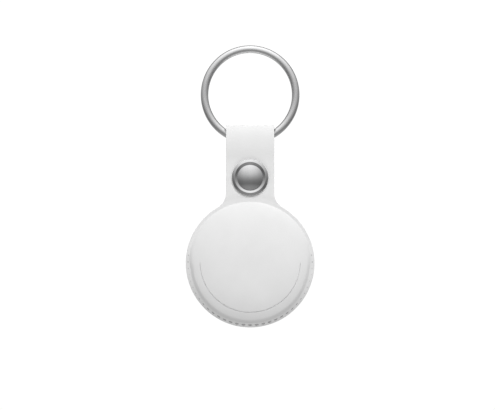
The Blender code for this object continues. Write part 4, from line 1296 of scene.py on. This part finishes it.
ring_steel = brushed_steel(
    "ring_steel",
    dark=(0.86, 0.86, 0.865),
    light=(0.92, 0.92, 0.925),
    roughness=(0.22, 0.3),
    stretch=(1, 0.2, 1),
)
smooth(ring, ring_steel, RING_SMOOTH)
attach(ring, "ring")
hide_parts("split_ring")

# Stage: a plain white floor well below the hanging fob, a soft sky that is brighter above than below, two
# round soft lights, in front and behind, and a camera straight in front with a long lens. The steel sees
# none of the lights, but a studio with a bright ceiling, and a darker front and back.

FLOOR_Z = -0.13
FLOOR_SIZE = 8.0
FLOOR_GLOW = 1.03
PAPER_PATCH = 300 * MM
VIEW_WIDTH = 156.9 * MM
VIEW_CENTRE = (-0.83 * MM, -48.17 * MM)
LENS = 275
SENSOR = 36
NEAREST_SEEN = 10 * MM
FARTHEST_SEEN = 20

bpy.ops.object.select_all(action="DESELECT")
bpy.ops.mesh.primitive_plane_add(size=FLOOR_SIZE, location=(0, 0, FLOOR_Z))
floor = bpy.context.object
floor.name = "studio_floor"
floor_look, floor_tree, floor_shader = finish("floor_paper")
floor_shader.inputs["Base Color"].default_value = (0, 0, 0, 1)
floor_shader.inputs["Specular IOR Level"].default_value = 0.0
floor_shader.inputs["Emission Strength"].default_value = FLOOR_GLOW
paper = pattern(floor_tree, "ShaderNodeTexNoise", PAPER_PATCH)
tint(floor_tree, paper, (0.99, 0.99, 0.99), (1.0, 1.0, 1.0), floor_shader.inputs["Emission Color"])
floor.data.materials.append(floor_look)
floor.visible_diffuse = False
floor.visible_glossy = False

world = bpy.data.worlds.new("studio")
bpy.context.scene.world = world
world.use_nodes = True
sky = world.node_tree
SKY_SCALE = 2.0
SKY_WHITE = 1.05


def sky_ramp(value, stops):
    """Brightness by a direction's part along one axis, from -1 to 1, given as (part, brightness) stops."""
    shift = sky.nodes.new("ShaderNodeMapRange")
    shift.inputs["From Min"].default_value = -1.0
    sky.links.new(value, shift.inputs["Value"])
    ramp = sky.nodes.new("ShaderNodeValToRGB")
    elements = ramp.color_ramp.elements
    while len(elements) < len(stops):
        elements.new(1.0)
    for element, (along, bright) in zip(elements, stops):
        element.position = (along + 1) / 2
        element.color = (bright / SKY_SCALE,) * 3 + (1,)
    sky.links.new(shift.outputs["Result"], ramp.inputs["Fac"])
    return ramp.outputs["Color"]


def blended(factor, first, second, kind="MIX"):
    """Two colours of the sky mixed by a factor."""
    mix = sky.nodes.new("ShaderNodeMixRGB")
    mix.blend_type = kind
    for socket, value in zip(mix.inputs, (factor, first, second)):
        if isinstance(value, (float, tuple)):
            socket.default_value = value
        else:
            sky.links.new(value, socket)
    return mix.outputs["Color"]


direction = sky.nodes.new("ShaderNodeTexCoord")
parts = sky.nodes.new("ShaderNodeSeparateXYZ")
sky.links.new(direction.outputs["Generated"], parts.inputs["Vector"])
ray = sky.nodes.new("ShaderNodeLightPath")
soft_light = sky_ramp(parts.outputs["Z"], ((-1, 0.435), (0, 0.5), (1, 0.585)))
front_studio = sky_ramp(
    parts.outputs["Z"],
    (
        (-1.0, 0.6),
        (-0.95, 0.48),
        (-0.87, 0.36),
        (-0.7, 0.33),
        (-0.49, 0.22),
        (-0.246, 0.3),
        (0.0, 0.5),
        (0.346, 0.85),
        (0.65, 1.1),
        (0.887, 1.3),
        (1.0, 1.45),
    ),
)
back_studio = sky_ramp(
    parts.outputs["Z"],
    (
        (-1.0, 0.5),
        (-0.6, 0.52),
        (-0.35, 0.45),
        (-0.15, 0.4),
        (0.15, 0.45),
        (0.35, 0.2),
        (0.96, 0.2),
        (1.0, 1.2),
    ),
)
behind = sky_ramp(parts.outputs["Y"], ((0.1, 0.0), (0.25, 2.0)))
sides = sky_ramp(
    parts.outputs["X"],
    ((-1.0, 1.0), (-0.87, 1.24), (-0.5, 1.8), (0.0, 2.0), (0.5, 1.8), (0.87, 1.24), (1.0, 1.0)),
)
studio = blended(1.0, blended(behind, front_studio, back_studio), sides, "MULTIPLY")
lit = blended(ray.outputs["Is Glossy Ray"], soft_light, studio)
white = SKY_WHITE / SKY_SCALE
seen = blended(ray.outputs["Is Camera Ray"], lit, (white, white, white, 1.0))
background = sky.nodes["Background"]
background.inputs["Strength"].default_value = SKY_SCALE
sky.links.new(seen, background.inputs["Color"])

LIGHT_DISTANCE = 2.5
LIGHT_SIZE = 2.0
KEY_POWER = 39.8
KEY_TILT = radians(42.5)
KEY_TURN = radians(9)
FILL_POWER = 24.0
FILL_TILT = radians(40)
FILL_TURN = radians(180)


def soft_box(name, power, tilt, turn):
    """A round soft light, tilted up from the pouch's height and turned round it from the front."""
    level = LIGHT_DISTANCE * cos(tilt)
    place = (level * sin(turn), -level * cos(turn), POUCH_Z + LIGHT_DISTANCE * sin(tilt))
    bpy.ops.object.light_add(type="AREA", location=place, rotation=(pi / 2 - tilt, 0, turn))
    light = bpy.context.object
    light.name = name
    light.data.shape = "DISK"
    light.data.size = LIGHT_SIZE
    light.data.energy = power
    light.visible_glossy = False


soft_box("key_light", KEY_POWER, KEY_TILT, KEY_TURN)
soft_box("fill_light", FILL_POWER, FILL_TILT, FILL_TURN)

bpy.context.scene.view_settings.view_transform = "Standard"
distance = VIEW_WIDTH * LENS / SENSOR
bpy.ops.object.camera_add(location=(VIEW_CENTRE[0], -distance, VIEW_CENTRE[1]), rotation=(pi / 2, 0, 0))
camera = bpy.context.object
camera.data.lens = LENS
camera.data.sensor_width = SENSOR
camera.data.clip_start = NEAREST_SEEN
camera.data.clip_end = FARTHEST_SEEN
bpy.context.scene.camera = camera
